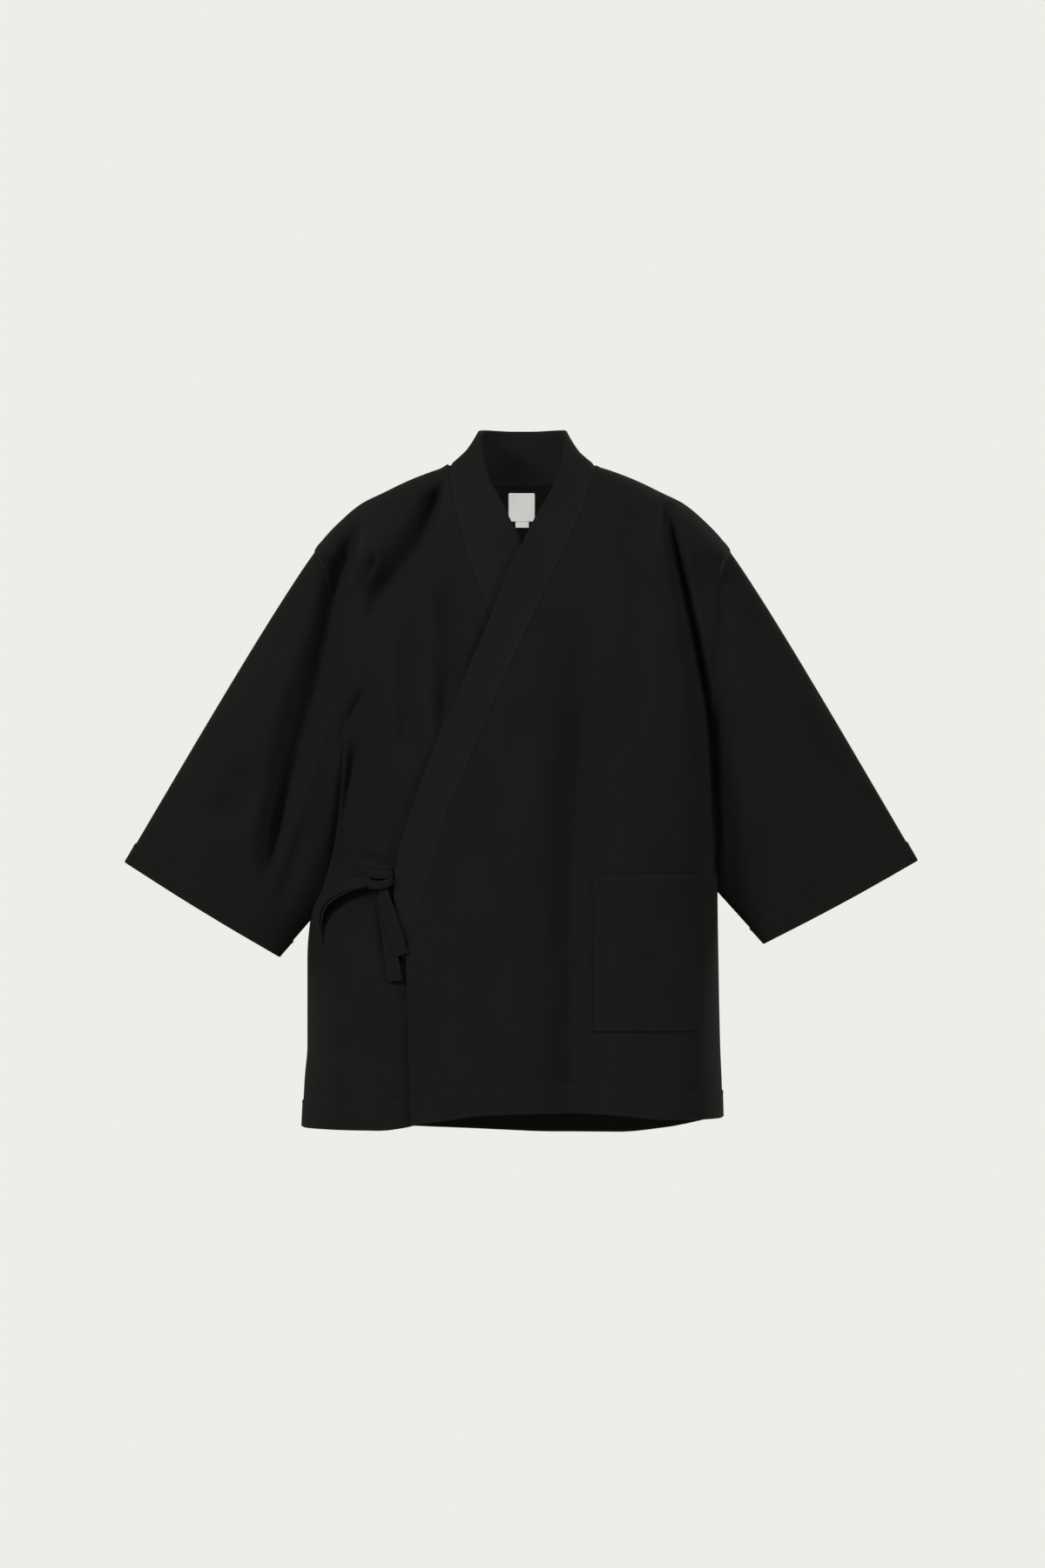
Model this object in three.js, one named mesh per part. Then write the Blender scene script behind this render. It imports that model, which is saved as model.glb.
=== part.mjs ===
// A samue jacket in its worn shape with nobody in it: a cross-over work jacket of black cotton.
// Millimetres. X runs across the shoulders, with the wearer's left at +X; -Y is the front; +Z is up.
// The origin is the middle of the neckline, level with the points where the shoulders meet the neck.
import * as THREE from 'three';

// Cloth
const CLOTH = 1.4;
const COLLAR_CLOTH = 3.0;
const COLLAR_STEP = 0.8;
const STRAP_CLOTH = 2.4;
const PATCH_CLOTH = 1.1;
const SEAM_GAP = 0.4;
const PATCH_GAP = 1.3;
const LAYER_DROP = 6;

// How many cells each panel has
const ARMHOLE_ROWS = 14;
const SKIRT_ROWS = 8;
const FRONT_COLUMNS = 22;
const SHOULDER_STEPS = FRONT_COLUMNS / 2;
const NECK_STEPS = 5;
const SLEEVE_ROWS = 12;
const COLLAR_CELLS = 3;

// Heights that the whole cut hangs from
const ARMHOLE_TOP = -96;
const SLIT_TOP = -668;
const SLIT_OPENING = 5;
const NECK_DROP = -20;

// Half width of the jacket on each side: along the shoulder, down the armhole seam, then down the side seam.
const LEFT_SIDE = [
  { z: 0, x: 84 }, { z: -6, x: 103 }, { z: -17, x: 131 }, { z: -30, x: 158 }, { z: -43, x: 184 },
  { z: -63, x: 208 }, { z: -83, x: 227 }, { z: -96, x: 236 }, { z: -112, x: 229 }, { z: -140, x: 223 },
  { z: -190, x: 220 }, { z: -263, x: 219 }, { z: -343, x: 221 }, { z: -420, x: 223 }, { z: -483, x: 222 },
  { z: -563, x: 223 }, { z: -663, x: 225 }, { z: -700, x: 226.5 }, { z: -750, x: 228 },
];
const RIGHT_SIDE = [
  { z: 0, x: 84 }, { z: -6, x: 103 }, { z: -17, x: 131 }, { z: -30, x: 158 }, { z: -43, x: 184 },
  { z: -63, x: 208 }, { z: -83, x: 227 }, { z: -96, x: 236 }, { z: -112, x: 229 }, { z: -140, x: 223 },
  { z: -200, x: 214 }, { z: -263, x: 206 }, { z: -313, x: 204 }, { z: -373, x: 208 }, { z: -440, x: 216 },
  { z: -480, x: 227 }, { z: -515, x: 241 }, { z: -563, x: 245 }, { z: -663, x: 245 }, { z: -700, x: 248 },
  { z: -760, x: 251 },
];

// How far the cloth stands in front of and behind the shoulder line at mid width.
const DEPTH = [
  { z: 0, front: 28, back: 30 }, { z: -10, front: 35, back: 59 }, { z: -20, front: 42, back: 76 },
  { z: -50, front: 61, back: 92 }, { z: -73, front: 75, back: 98 }, { z: -103, front: 88, back: 104 },
  { z: -143, front: 103, back: 109 }, { z: -178, front: 113, back: 111 }, { z: -220, front: 120, back: 111 },
  { z: -263, front: 123, back: 110 }, { z: -343, front: 122, back: 107 }, { z: -483, front: 120, back: 106 },
  { z: -600, front: 123, back: 110 }, { z: -700, front: 127, back: 115 }, { z: -770, front: 129, back: 118 },
];

// Half depth of the armhole, from its top (0) to the underarm (1), before its ends are rounded.
const ARMHOLE_DEPTH = [
  { share: 0, depth: 56 }, { share: 0.15, depth: 60 }, { share: 0.3, depth: 55 }, { share: 0.5, depth: 46 },
  { share: 0.75, depth: 35 }, { share: 1, depth: 27 },
];
// How square the section is at mid width, and how sharply it turns where it meets the side.
const WIDTH_POWER = 2.4;
const SEAM_POWER = 14;
const SIDE_TURN = [
  { z: 0, power: 2.4 }, { z: -96, power: 2.4 }, { z: -150, power: 1.5 }, { z: -250, power: 1.2 },
  { z: -350, power: 1.5 }, { z: -430, power: 2.0 }, { z: -490, power: 2.4 }, { z: -770, power: 2.4 },
];

// Where each front's collar seam runs, and below it that front's free edge.
const OUTER_SEAM = [
  { z: 0, x: 84 }, { z: -18, x: 77 }, { z: -48, x: 69 }, { z: -73, x: 58 }, { z: -103, x: 44 },
  { z: -178, x: 9 }, { z: -243, x: -21 }, { z: -323, x: -54 }, { z: -393, x: -84 }, { z: -448, x: -99 },
  { z: -483, x: -109 }, { z: -523, x: -121 }, { z: -560, x: -131 }, { z: -620, x: -130 }, { z: -755, x: -126 },
];
const INNER_SEAM = [
  { z: 0, x: -84 }, { z: -18, x: -83 }, { z: -53, x: -77 }, { z: -83, x: -69 }, { z: -113, x: -60 },
  { z: -150, x: -48 }, { z: -178, x: -38 }, { z: -243, x: -10 }, { z: -323, x: 25 }, { z: -393, x: 52 },
  { z: -483, x: 82 }, { z: -560, x: 103 }, { z: -620, x: 105 }, { z: -755, x: 105 },
];
const COLLAR_END = -560;

// The collar's free edge. Beside each height of the seam: where the edge is, and how far it lifts off the cloth.
const OUTER_EDGE = [
  { seam: 0, x: 49, y: 0, z: 33 }, { seam: -12, x: 47, y: -19, z: 13 }, { seam: -28, x: 41, y: -38, z: -10 },
  { seam: -48, x: 31, y: -57, z: -32 }, { seam: -73, x: 16, z: -58, lift: 11 },
  { seam: -103, x: -1, z: -93, lift: 11 }, { seam: -130, x: -15, z: -120, lift: 8 },
  { seam: -178, x: -31, z: -163, lift: 5 }, { seam: -243, x: -58, z: -227, lift: 3.5 },
  { seam: -323, x: -93, z: -306, lift: 2.5 }, { seam: -393, x: -122, z: -383, lift: 2 },
  { seam: -448, x: -140, z: -441, lift: 2 }, { seam: -483, x: -146, z: -480, lift: 1.5 },
  { seam: -523, x: -142, z: -522, lift: 1 }, { seam: -560, x: -137, z: -560, lift: 0.5 },
];
const INNER_EDGE = [
  { seam: 0, x: -48, y: 0, z: 36 }, { seam: -12, x: -46, y: -19, z: 14 }, { seam: -28, x: -41, y: -38, z: -9 },
  { seam: -53, x: -28, y: -58, z: -35 }, { seam: -83, x: -13, z: -66, lift: 10 },
  { seam: -113, x: 0, z: -95, lift: 7 }, { seam: -150, x: 9, z: -132, lift: 4 },
  { seam: -178, x: 15, z: -159, lift: 1.5 }, { seam: -243, x: 42, z: -223, lift: 1 },
  { seam: -323, x: 71, z: -304, lift: 0.8 }, { seam: -393, x: 94, z: -380, lift: 0.6 },
  { seam: -483, x: 119, z: -476, lift: 0.5 }, { seam: -523, x: 117, z: -520, lift: 0.5 },
  { seam: -560, x: 110, z: -560, lift: 0.5 },
];
// Back of the neck, from the shoulder to the middle: the seam on the back panel and the edge that stands above it.
const NECK_RIBS = [
  { seamX: 84, seamZ: 0 },
  { seamX: 79, seamZ: -4, x: 49, y: 22, z: 42 },
  { seamX: 66, seamZ: -10.5, x: 44, y: 42, z: 44 },
  { seamX: 45, seamZ: -16.5, x: 31, y: 54, z: 44 },
  { seamX: 22, seamZ: -19.3, x: 16, y: 60, z: 43.5 },
  { seamX: 0, seamZ: NECK_DROP, x: 0, y: 62, z: 43.5 },
];
const COLLAR_BULGE = 2;

// Hems, against the distance from mid front or mid back.
const OUTER_HEM = [
  { x: -130, z: -749 }, { x: -100, z: -745 }, { x: -40, z: -737 }, { x: 40, z: -735 }, { x: 100, z: -737 },
  { x: 150, z: -742 }, { x: 228, z: -744 },
];
const INNER_HEM = [
  { x: -251, z: -755 }, { x: -165, z: -755 }, { x: -131, z: -751 }, { x: -95, z: -739 }, { x: -40, z: -731 },
  { x: 105, z: -730 },
];
const BACK_HEM = [
  { x: -251, z: -755 }, { x: -150, z: -759 }, { x: -60, z: -763 }, { x: 40, z: -767 }, { x: 110, z: -767 },
  { x: 165, z: -761 }, { x: 200, z: -753 }, { x: 228, z: -744 },
];

// Cuffs: the corner at the end of the shoulder fold, the corner under the arm, and half the opening.
const CUFF_DEPTH = 22;
const LEFT_CUFF = { topX: 452, topZ: -451, lowX: 278, lowZ: -545 };
const RIGHT_CUFF = { topX: 455, topZ: -453, lowX: 280, lowZ: -560 };
const SLEEVE_FULLNESS = 9;
const SHOULDER_ROUND = 4.5;

// The largest folds of the front and back. Each runs from one point of the front view through a bend to another;
// depth is how far it sinks (or stands, if negative), and width is half its opening.
const FRONT_FOLDS = [
  { name: 'left armhole fold', from: [170, -50], bend: [206, -190], to: [219, -470], depth: 24, width: 10 },
  { name: 'front hanging fold', from: [62, -125], bend: [54, -430], to: [48, -705], depth: 9, width: 18 },
  { name: 'right sleeve fold', from: [-196, -72], bend: [-236, -225], to: [-304, -480], depth: 17, width: 14 },
  { name: 'right shoulder drag', from: [-92, -30], bend: [-122, -112], to: [-192, -205], depth: 14, width: 15 },
  { name: 'right armhole fold', from: [-202, -300], bend: [-206, -390], to: [-218, -475], depth: 20, width: 10 },
  { name: 'right crest', from: [-160, -80], bend: [-192, -190], to: [-224, -430], depth: -6, width: 13 },
  { name: 'right chest fold', from: [-138, -175], bend: [-141, -260], to: [-139, -350], depth: 5, width: 12 },
  { name: 'left sleeve slack', from: [262, -190], bend: [300, -330], to: [345, -470], depth: 6, width: 20 },
];
const BACK_FOLDS = [
  { name: 'left back drag', from: [150, -70], bend: [192, -210], to: [214, -440], depth: 16, width: 14 },
  { name: 'right back drag', from: [-150, -75], bend: [-188, -230], to: [-212, -450], depth: 16, width: 14 },
  { name: 'left hanging fold', from: [88, -230], bend: [96, -480], to: [104, -740], depth: 8, width: 20 },
  { name: 'right hanging fold', from: [-74, -260], bend: [-84, -500], to: [-92, -740], depth: 8, width: 20 },
  { name: 'left sleeve fold', from: [232, -120], bend: [262, -280], to: [318, -470], depth: 12, width: 15 },
  { name: 'right sleeve fold', from: [-232, -120], bend: [-266, -290], to: [-322, -480], depth: 12, width: 15 },
];
const FOLD_FADE = 0.16;
const FOLD_ROOT_DEPTH = 30;
const FOLD_SAMPLES = 24;

// Patch pocket, low on the outer front: its edges in the front view.
const POCKET = { left: 82, right: 203, top: -467, bottom: -643 };

// Ties at the wearer's right side, flat straps knotted over the front edge.
const STRAP_WIDTH = 17;
const SIDE_TIE_WIDTH = 13;
const SIDE_TIE = [
  { x: -224, z: -490, lift: 1.7 }, { x: -217, z: -486, lift: 4 }, { x: -205, z: -480, lift: 6 },
  { x: -190, z: -473, lift: 7 }, { x: -173.5, z: -466.5, lift: 8.5 },
];
const BOW_LOOP = [
  { x: -230, z: -544, lift: 1.7 }, { x: -228, z: -524, lift: 4.5 }, { x: -221, z: -506, lift: 9 },
  { x: -208, z: -491, lift: 12 }, { x: -191, z: -482, lift: 12.5 }, { x: -170.5, z: -476, lift: 12.5 },
];
const FRONT_TIE = [{ x: -148.6, z: -465, lift: 2 }, { x: -153, z: -465.5, lift: 2.4 }, { x: -158, z: -466, lift: 2.7 }];
const LONG_TAIL = [
  { x: -166, z: -476, lift: 2.7 }, { x: -162, z: -497, lift: 3.2 }, { x: -157, z: -520, lift: 3.5 },
  { x: -151, z: -550, lift: 2.6 }, { x: -144, z: -586, lift: 1.8 },
];
const SHORT_TAIL = [
  { x: -156, z: -481.5, lift: 10 }, { x: -150, z: -505, lift: 7.5 }, { x: -143, z: -532, lift: 6.6 },
  { x: -136, z: -557, lift: 5.4 },
];
const STRAP_STEPS = 8;
const KNOT = { x: -160, z: -471, lift: 10.8, width: 13.5, depth: 6.2, height: 10 };

// Woven label below the collar inside the back, and the size tab under it.
const LABEL = { left: -16, right: 14, top: -26, bottom: -58, thickness: 0.8 };
const SIZE_TAB = { left: -8, right: 7, top: -58.5, bottom: -65, thickness: 0.6 };
const LABEL_GAP = 1.3;

const CLOTH_COLOUR = '#191a18';
const LABEL_COLOUR = '#f2f2f0';

const FRONT = -1;
const BACK = 1;

const mix = THREE.MathUtils.lerp;
const point = (x, y, z) => new THREE.Vector3(x, y, z);

/** A smooth curve through a table's rows, value against key, that never overshoots between them. */
function curveThrough(table, key, value) {
  const rows = [...table].sort((a, b) => a[key] - b[key]);
  const last = rows.length - 1;
  const slope = rows.slice(1).map((row, i) => (row[value] - rows[i][value]) / (row[key] - rows[i][key]));
  const tangent = rows.map((_, i) => {
    if (i === 0) return slope[0];
    if (i === last) return slope[last - 1];
    const before = slope[i - 1];
    const after = slope[i];
    return before * after <= 0 ? 0 : (2 * before * after) / (before + after);
  });
  return (at) => {
    const k = THREE.MathUtils.clamp(at, rows[0][key], rows[last][key]);
    let i = 0;
    while (i < last - 1 && k > rows[i + 1][key]) i += 1;
    const span = rows[i + 1][key] - rows[i][key];
    const t = (k - rows[i][key]) / span;
    const blend = t * t * (3 - 2 * t);
    const lean = t * (1 - t);
    return mix(rows[i][value], rows[i + 1][value], blend)
      + span * lean * (tangent[i] * (1 - t) - tangent[i + 1] * t);
  };
}

/** Everything that differs between the wearer's left (+X) and right (-X) half. */
function makeSide(sign, outline, underarm, cuff) {
  return { sign, underarm, cuff, reach: curveThrough(outline, 'z', 'x') };
}
const LEFT = makeSide(1, LEFT_SIDE, -483, LEFT_CUFF);
const RIGHT = makeSide(-1, RIGHT_SIDE, -515, RIGHT_CUFF);

const frontDepth = curveThrough(DEPTH, 'z', 'front');
const backDepth = curveThrough(DEPTH, 'z', 'back');
const armholeDepth = curveThrough(ARMHOLE_DEPTH, 'share', 'depth');
const sideTurn = curveThrough(SIDE_TURN, 'z', 'power');
const outerSeam = curveThrough(OUTER_SEAM, 'z', 'x');
const innerSeam = curveThrough(INNER_SEAM, 'z', 'x');

/** A fold as points along its line, ready to be measured from. */
function traceFold(fold) {
  const line = new THREE.QuadraticBezierCurve(
    new THREE.Vector2(...fold.from), new THREE.Vector2(...fold.bend), new THREE.Vector2(...fold.to));
  return { ...fold, points: line.getPoints(FOLD_SAMPLES) };
}
const frontFolds = FRONT_FOLDS.map(traceFold);
const backFolds = BACK_FOLDS.map(traceFold);

/** How far the folds sink the cloth at a point of the front view. */
function foldSink(folds, x, z) {
  let sink = 0;
  for (const fold of folds) {
    let nearest = Infinity;
    let share = 0;
    for (let i = 0; i < fold.points.length; i += 1) {
      const away = Math.hypot(x - fold.points[i].x, z - fold.points[i].y);
      if (away < nearest) {
        nearest = away;
        share = i / FOLD_SAMPLES;
      }
    }
    const taper = Math.min(1, share / FOLD_FADE, (1 - share) / FOLD_FADE);
    sink += fold.depth * taper * Math.exp(-((nearest / fold.width) ** 2));
  }
  return sink;
}

/** Half depth of the armhole seam at a height; nothing above and below the armhole. */
function seamDepth(side, z) {
  const share = (ARMHOLE_TOP - z) / (ARMHOLE_TOP - side.underarm);
  if (share <= 0 || share >= 1) return 0;
  return 2 * Math.sqrt(share * (1 - share)) * armholeDepth(share);
}

/** Half the gap between front and back at the side slit. */
function slitDepth(z) {
  return z < SLIT_TOP ? SLIT_OPENING * (SLIT_TOP - z) / 90 : 0;
}

/** How far the armhole holds the cloth beside it open: like its depth, but easing in at the top and underarm. */
function armholeSpread(side, z) {
  const share = THREE.MathUtils.clamp((ARMHOLE_TOP - z) / (ARMHOLE_TOP - side.underarm), 0, 1);
  return (4 * share * (1 - share)) ** 2 * armholeDepth(share);
}

/** Distance of the worn cloth from the shoulder line's plane, before its folds. */
function plainDepth(face, x, z) {
  const side = x < 0 ? RIGHT : LEFT;
  const share = Math.min(Math.abs(x) / side.reach(z), 1);
  const end = mix(armholeSpread(side, z), seamDepth(side, z), share ** SEAM_POWER) + slitDepth(z);
  const crown = face === FRONT ? frontDepth(z) : backDepth(z);
  return end + (crown - end) * (1 - share ** WIDTH_POWER) ** (1 / sideTurn(z));
}

/** A point on the outside of the jacket, given its depth before the folds. */
function foldedPoint(face, x, depth, z) {
  const folds = face === FRONT ? frontFolds : backFolds;
  const sink = foldSink(folds, x, z) * Math.min(1, depth / FOLD_ROOT_DEPTH);
  return point(x, face * (depth - sink), z);
}

function bodyPoint(face, x, z) {
  return foldedPoint(face, x, plainDepth(face, x, z), z);
}

/** The inner front drops under the outer one just before that one's free edge covers it. */
const coverEdge = curveThrough(OUTER_EDGE.concat([{ x: -130, z: -620 }, { x: -126, z: -760 }]), 'z', 'x');
function layerDrop(x, z) {
  return LAYER_DROP * THREE.MathUtils.smoothstep(x - coverEdge(z), -32, 3);
}
function innerPoint(x, z) {
  const place = bodyPoint(FRONT, x, z);
  place.y += layerDrop(x, z);
  return place;
}

/** Share of the armhole's height at one of its rows, closer together at both ends. */
const armholeShare = (row) => (1 - Math.cos(Math.PI * row / ARMHOLE_ROWS)) / 2;

/** Height of a panel's row in a column that starts at top and ends at hem. */
function rowHeight(side, row, top, hem) {
  if (row <= ARMHOLE_ROWS) return mix(top, side.underarm, armholeShare(row));
  return mix(side.underarm, hem, (row - ARMHOLE_ROWS) / SKIRT_ROWS);
}
const ROWS = ARMHOLE_ROWS + SKIRT_ROWS;

/** Share of the width at a column, closer together towards the side. */
const columnShare = (share) => 1 - (1 - share) ** 1.7;

/** Height of the shoulder line above a distance from the middle. */
function shoulderHeight(side, x) {
  let low = ARMHOLE_TOP;
  let high = 0;
  for (let i = 0; i < 40; i += 1) {
    const middle = (low + high) / 2;
    if (side.reach(middle) > x) low = middle;
    else high = middle;
  }
  return (low + high) / 2;
}

/** Shoulder points from the neck to the armhole, the same for the front and the back. */
function shoulderLine(side) {
  const line = [];
  for (let i = 0; i <= SHOULDER_STEPS; i += 1) {
    const x = mix(side.reach(0), side.reach(ARMHOLE_TOP), columnShare(i / SHOULDER_STEPS));
    line.push(point(side.sign * x, 0, shoulderHeight(side, x)));
  }
  return line;
}

/** A front, from its collar seam to the side; rows run from the shoulder to the hem. */
function frontGrid(side, seam, hem, place) {
  const shoulder = shoulderLine(side);
  const hemHeight = curveThrough(hem, 'x', 'z');
  const grid = [];
  for (let row = 0; row <= ROWS; row += 1) {
    const edge = seam(rowHeight(side, row, 0, hemHeight(seam(-740))));
    const sideX = side.sign * side.reach(rowHeight(side, row, ARMHOLE_TOP, hemHeight(side.sign * 240)));
    const line = [];
    for (let column = 0; column <= FRONT_COLUMNS; column += 1) {
      const before = shoulder[Math.floor(column / 2)];
      const top = before.clone().lerp(shoulder[Math.ceil(column / 2)], 0.5);
      if (row === 0) {
        line.push(top);
        continue;
      }
      const x = mix(edge, sideX, columnShare(column / FRONT_COLUMNS));
      line.push(place(x, rowHeight(side, row, top.z, hemHeight(x))));
    }
    grid.push(line);
  }
  return grid;
}

/** Half of the back, from its centre seam to the side; its top row follows the neck, then the shoulder. */
function backGrid(side) {
  const shoulder = shoulderLine(side);
  const neck = [...NECK_RIBS].reverse().slice(0, NECK_STEPS)
    .map((rib) => bodyPoint(BACK, side.sign * rib.seamX, rib.seamZ));
  const top = neck.concat(shoulder);
  const hemHeight = curveThrough(BACK_HEM, 'x', 'z');
  const grid = [];
  for (let row = 0; row <= ROWS; row += 1) {
    const sideX = side.sign * side.reach(rowHeight(side, row, ARMHOLE_TOP, hemHeight(side.sign * 240)));
    const spread = Math.min(1, 3 * armholeShare(Math.min(row, ARMHOLE_ROWS)));
    const line = top.map((start, column) => {
      if (row === 0) return start.clone();
      const share = mix(start.x / top[top.length - 1].x, columnShare(column / (top.length - 1)), spread);
      const x = sideX * share;
      return bodyPoint(BACK, x, rowHeight(side, row, start.z, hemHeight(x)));
    });
    grid.push(line);
  }
  return grid;
}

/** A sleeve: each row is a ring from the shoulder fold down its front and up its back, from armhole to cuff. */
function sleeveGrid(side) {
  const cuff = side.cuff;
  const grid = [];
  for (let row = 0; row <= SLEEVE_ROWS; row += 1) {
    const along = row / SLEEVE_ROWS;
    const ring = [];
    const add = (face, share) => {
      const seamZ = mix(ARMHOLE_TOP, side.underarm, share);
      const seamX = side.reach(seamZ);
      const cuffX = mix(cuff.topX, cuff.lowX, share);
      const cuffZ = mix(cuff.topZ, cuff.lowZ, share);
      const round = SHOULDER_ROUND * Math.sin(Math.PI * along ** 0.6) * (1 - share) ** 2;
      const bulge = Math.sin(Math.PI * Math.sqrt(share) ** 1.4) * Math.sin(Math.PI * along);
      const depth = mix(seamDepth(side, seamZ), 2 * CUFF_DEPTH * Math.sqrt(share * (1 - share)), along)
        + SLEEVE_FULLNESS * bulge;
      ring.push(foldedPoint(face, side.sign * (mix(seamX, cuffX, along) + round), depth, mix(seamZ, cuffZ, along)));
    };
    const steps = 2 * ARMHOLE_ROWS;
    for (let k = 0; k < steps; k += 1) {
      add(FRONT, armholeShare(k / 2));
    }
    for (let k = ARMHOLE_ROWS; k > 0; k -= 1) {
      add(BACK, armholeShare(k));
    }
    grid.push(ring);
  }
  straightenBetweenSeamPoints(grid[0]);
  return grid;
}

/** Puts a sleeve's extra front points on the straight stretches between the points it shares with the body. */
function straightenBetweenSeamPoints(ring) {
  for (let k = 1; k < 2 * ARMHOLE_ROWS; k += 2) {
    ring[k] = ring[k - 1].clone().lerp(ring[k + 1], 0.5);
  }
}

/** The free edge of the collar beside each height of the seam. */
function collarEdge(table, place) {
  const rows = table.map((row) => ({
    ...row,
    y: row.lift === undefined ? row.y : place(row.x, row.z).y - row.lift,
  }));
  const x = curveThrough(rows, 'seam', 'x');
  const y = curveThrough(rows, 'seam', 'y');
  const z = curveThrough(rows, 'seam', 'z');
  return (seamZ) => point(x(seamZ), y(seamZ), z(seamZ));
}

/** The collar in one length: up the inner front, round the neck and down the outer front. */
function collarGrid(inner, outer, leftBack, rightBack) {
  const ribs = [];
  const addFront = (grid, edge) => grid.map((line) => line[0])
    .filter((start) => start.z >= COLLAR_END - 1)
    .map((start) => [start, edge(start.z)]);
  const addNeck = (grid, sign) => NECK_RIBS.slice(1).map((rib, i) => [
    grid[0][NECK_STEPS - 1 - i], point(sign * rib.x, rib.y, rib.z)]);
  const innerRibs = addFront(inner, collarEdge(INNER_EDGE, innerPoint));
  const outerRibs = addFront(outer, collarEdge(OUTER_EDGE, (x, z) => bodyPoint(FRONT, x, z)));
  ribs.push(...innerRibs.reverse(), ...addNeck(rightBack, -1));
  ribs.push(...addNeck(leftBack, 1).reverse().slice(1), ...outerRibs);
  const lines = [];
  for (let cell = 0; cell <= COLLAR_CELLS; cell += 1) {
    lines.push(ribs.map(([start, end]) => start.clone().lerp(end, cell / COLLAR_CELLS)));
  }
  const lean = gridNormals(lines, false, false);
  return lines.map((line, cell) => line.map((place, i) =>
    place.clone().addScaledVector(lean[cell][i], COLLAR_BULGE * Math.sin(Math.PI * cell / COLLAR_CELLS))));
}

/** Outward normals of a grid of points; a wrapped grid's rows close on themselves. */
function gridNormals(grid, wrapped, flipped) {
  const rows = grid.length;
  const columns = grid[0].length;
  const column = (i) => (wrapped ? (i + columns) % columns : THREE.MathUtils.clamp(i, 0, columns - 1));
  return grid.map((line, row) => line.map((_, i) => {
    const along = line[column(i + 1)].clone().sub(line[column(i - 1)]);
    const down = grid[Math.min(row + 1, rows - 1)][i].clone().sub(grid[Math.max(row - 1, 0)][i]);
    const normal = along.cross(down).normalize();
    return flipped ? normal.negate() : normal;
  }));
}

const keyOf = (place) => [place.x, place.y, place.z].map((value) => Math.round(value * 20)).join(',');

/** Gives points that several panels share one common normal, so that their walls meet in a mitre. */
function shareNormals(panels) {
  const sums = new Map();
  const visit = (change) => panels.forEach(({ grid, normals }) => grid.forEach((line, row) =>
    line.forEach((place, i) => change(keyOf(place), normals[row][i]))));
  visit((key, normal) => sums.set(key, (sums.get(key) ?? point(0, 0, 0)).add(normal)));
  visit((key, normal) => normal.copy(sums.get(key)).normalize());
}

/** A cloth wall over a grid: its outer face stands raised by step, and its edges draw back from the seams. */
function clothWall(grid, normals, { wrapped = false, flipped = false, step = 0, thickness = CLOTH, back = SEAM_GAP / 2 }) {
  const rows = grid.length;
  const columns = grid[0].length;
  const positions = [];
  const put = (depth) => grid.forEach((line, row) => line.forEach((place, i) => {
    const moved = place.clone();
    if (row === 0 || row === rows - 1) {
      moved.add(grid[row === 0 ? 1 : rows - 2][i].clone().sub(place).setLength(back));
    }
    if (!wrapped && (i === 0 || i === columns - 1)) {
      moved.add(line[i === 0 ? 1 : columns - 2].clone().sub(place).setLength(back));
    }
    moved.addScaledVector(normals[row][i], depth);
    positions.push(moved.x, moved.y, moved.z);
  }));
  put(step);
  put(step - thickness);
  const count = rows * columns;
  const faces = [];
  const quad = (a, b, c, d) => (flipped ? faces.push(a, c, b, a, d, c) : faces.push(a, b, c, a, c, d));
  const at = (row, i) => row * columns + (i % columns);
  const cells = wrapped ? columns : columns - 1;
  for (let row = 0; row < rows - 1; row += 1) {
    for (let i = 0; i < cells; i += 1) {
      const [a, b, c, d] = [at(row, i), at(row, i + 1), at(row + 1, i + 1), at(row + 1, i)];
      quad(a, d, c, b);
      quad(count + a, count + b, count + c, count + d);
    }
    if (!wrapped) {
      const end = columns - 1;
      quad(at(row, 0), count + at(row, 0), count + at(row + 1, 0), at(row + 1, 0));
      quad(at(row, end), at(row + 1, end), count + at(row + 1, end), count + at(row, end));
    }
  }
  for (let i = 0; i < cells; i += 1) {
    const end = rows - 1;
    quad(at(0, i), at(0, i + 1), count + at(0, i + 1), count + at(0, i));
    quad(at(end, i), count + at(end, i), count + at(end, i + 1), at(end, i + 1));
  }
  const geometry = new THREE.BufferGeometry();
  geometry.setAttribute('position', new THREE.Float32BufferAttribute(positions, 3));
  geometry.setIndex(faces);
  geometry.computeVertexNormals();
  return geometry;
}

/** Which way the front's cloth faces at a point, over a few millimetres around it. */
function frontNormal(x, z) {
  const reach = 4;
  const across = bodyPoint(FRONT, x + reach, z).sub(bodyPoint(FRONT, x - reach, z));
  const up = bodyPoint(FRONT, x, z + reach).sub(bodyPoint(FRONT, x, z - reach));
  return across.cross(up).normalize();
}

/** A point of the front, moved out along the cloth's own normal there. */
function liftedPoint(x, z, lift) {
  return bodyPoint(FRONT, x, z).addScaledVector(frontNormal(x, z), lift);
}

/** A flat strap along points of the front: rows run across it, each of three points that follow the cloth. */
function strapGrid(table, width) {
  const path = new THREE.CatmullRomCurve3(table.map((row) => point(row.x, row.z, row.lift)));
  const grid = [];
  for (let i = 0; i <= STRAP_STEPS; i += 1) {
    const centre = path.getPointAt(i / STRAP_STEPS);
    const along = path.getTangentAt(i / STRAP_STEPS);
    const across = new THREE.Vector2(along.y, -along.x).setLength(width / 2);
    grid.push([-1, 0, 1].map((side) =>
      liftedPoint(centre.x + side * across.x, centre.y + side * across.y, centre.z)));
  }
  return grid;
}

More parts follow.
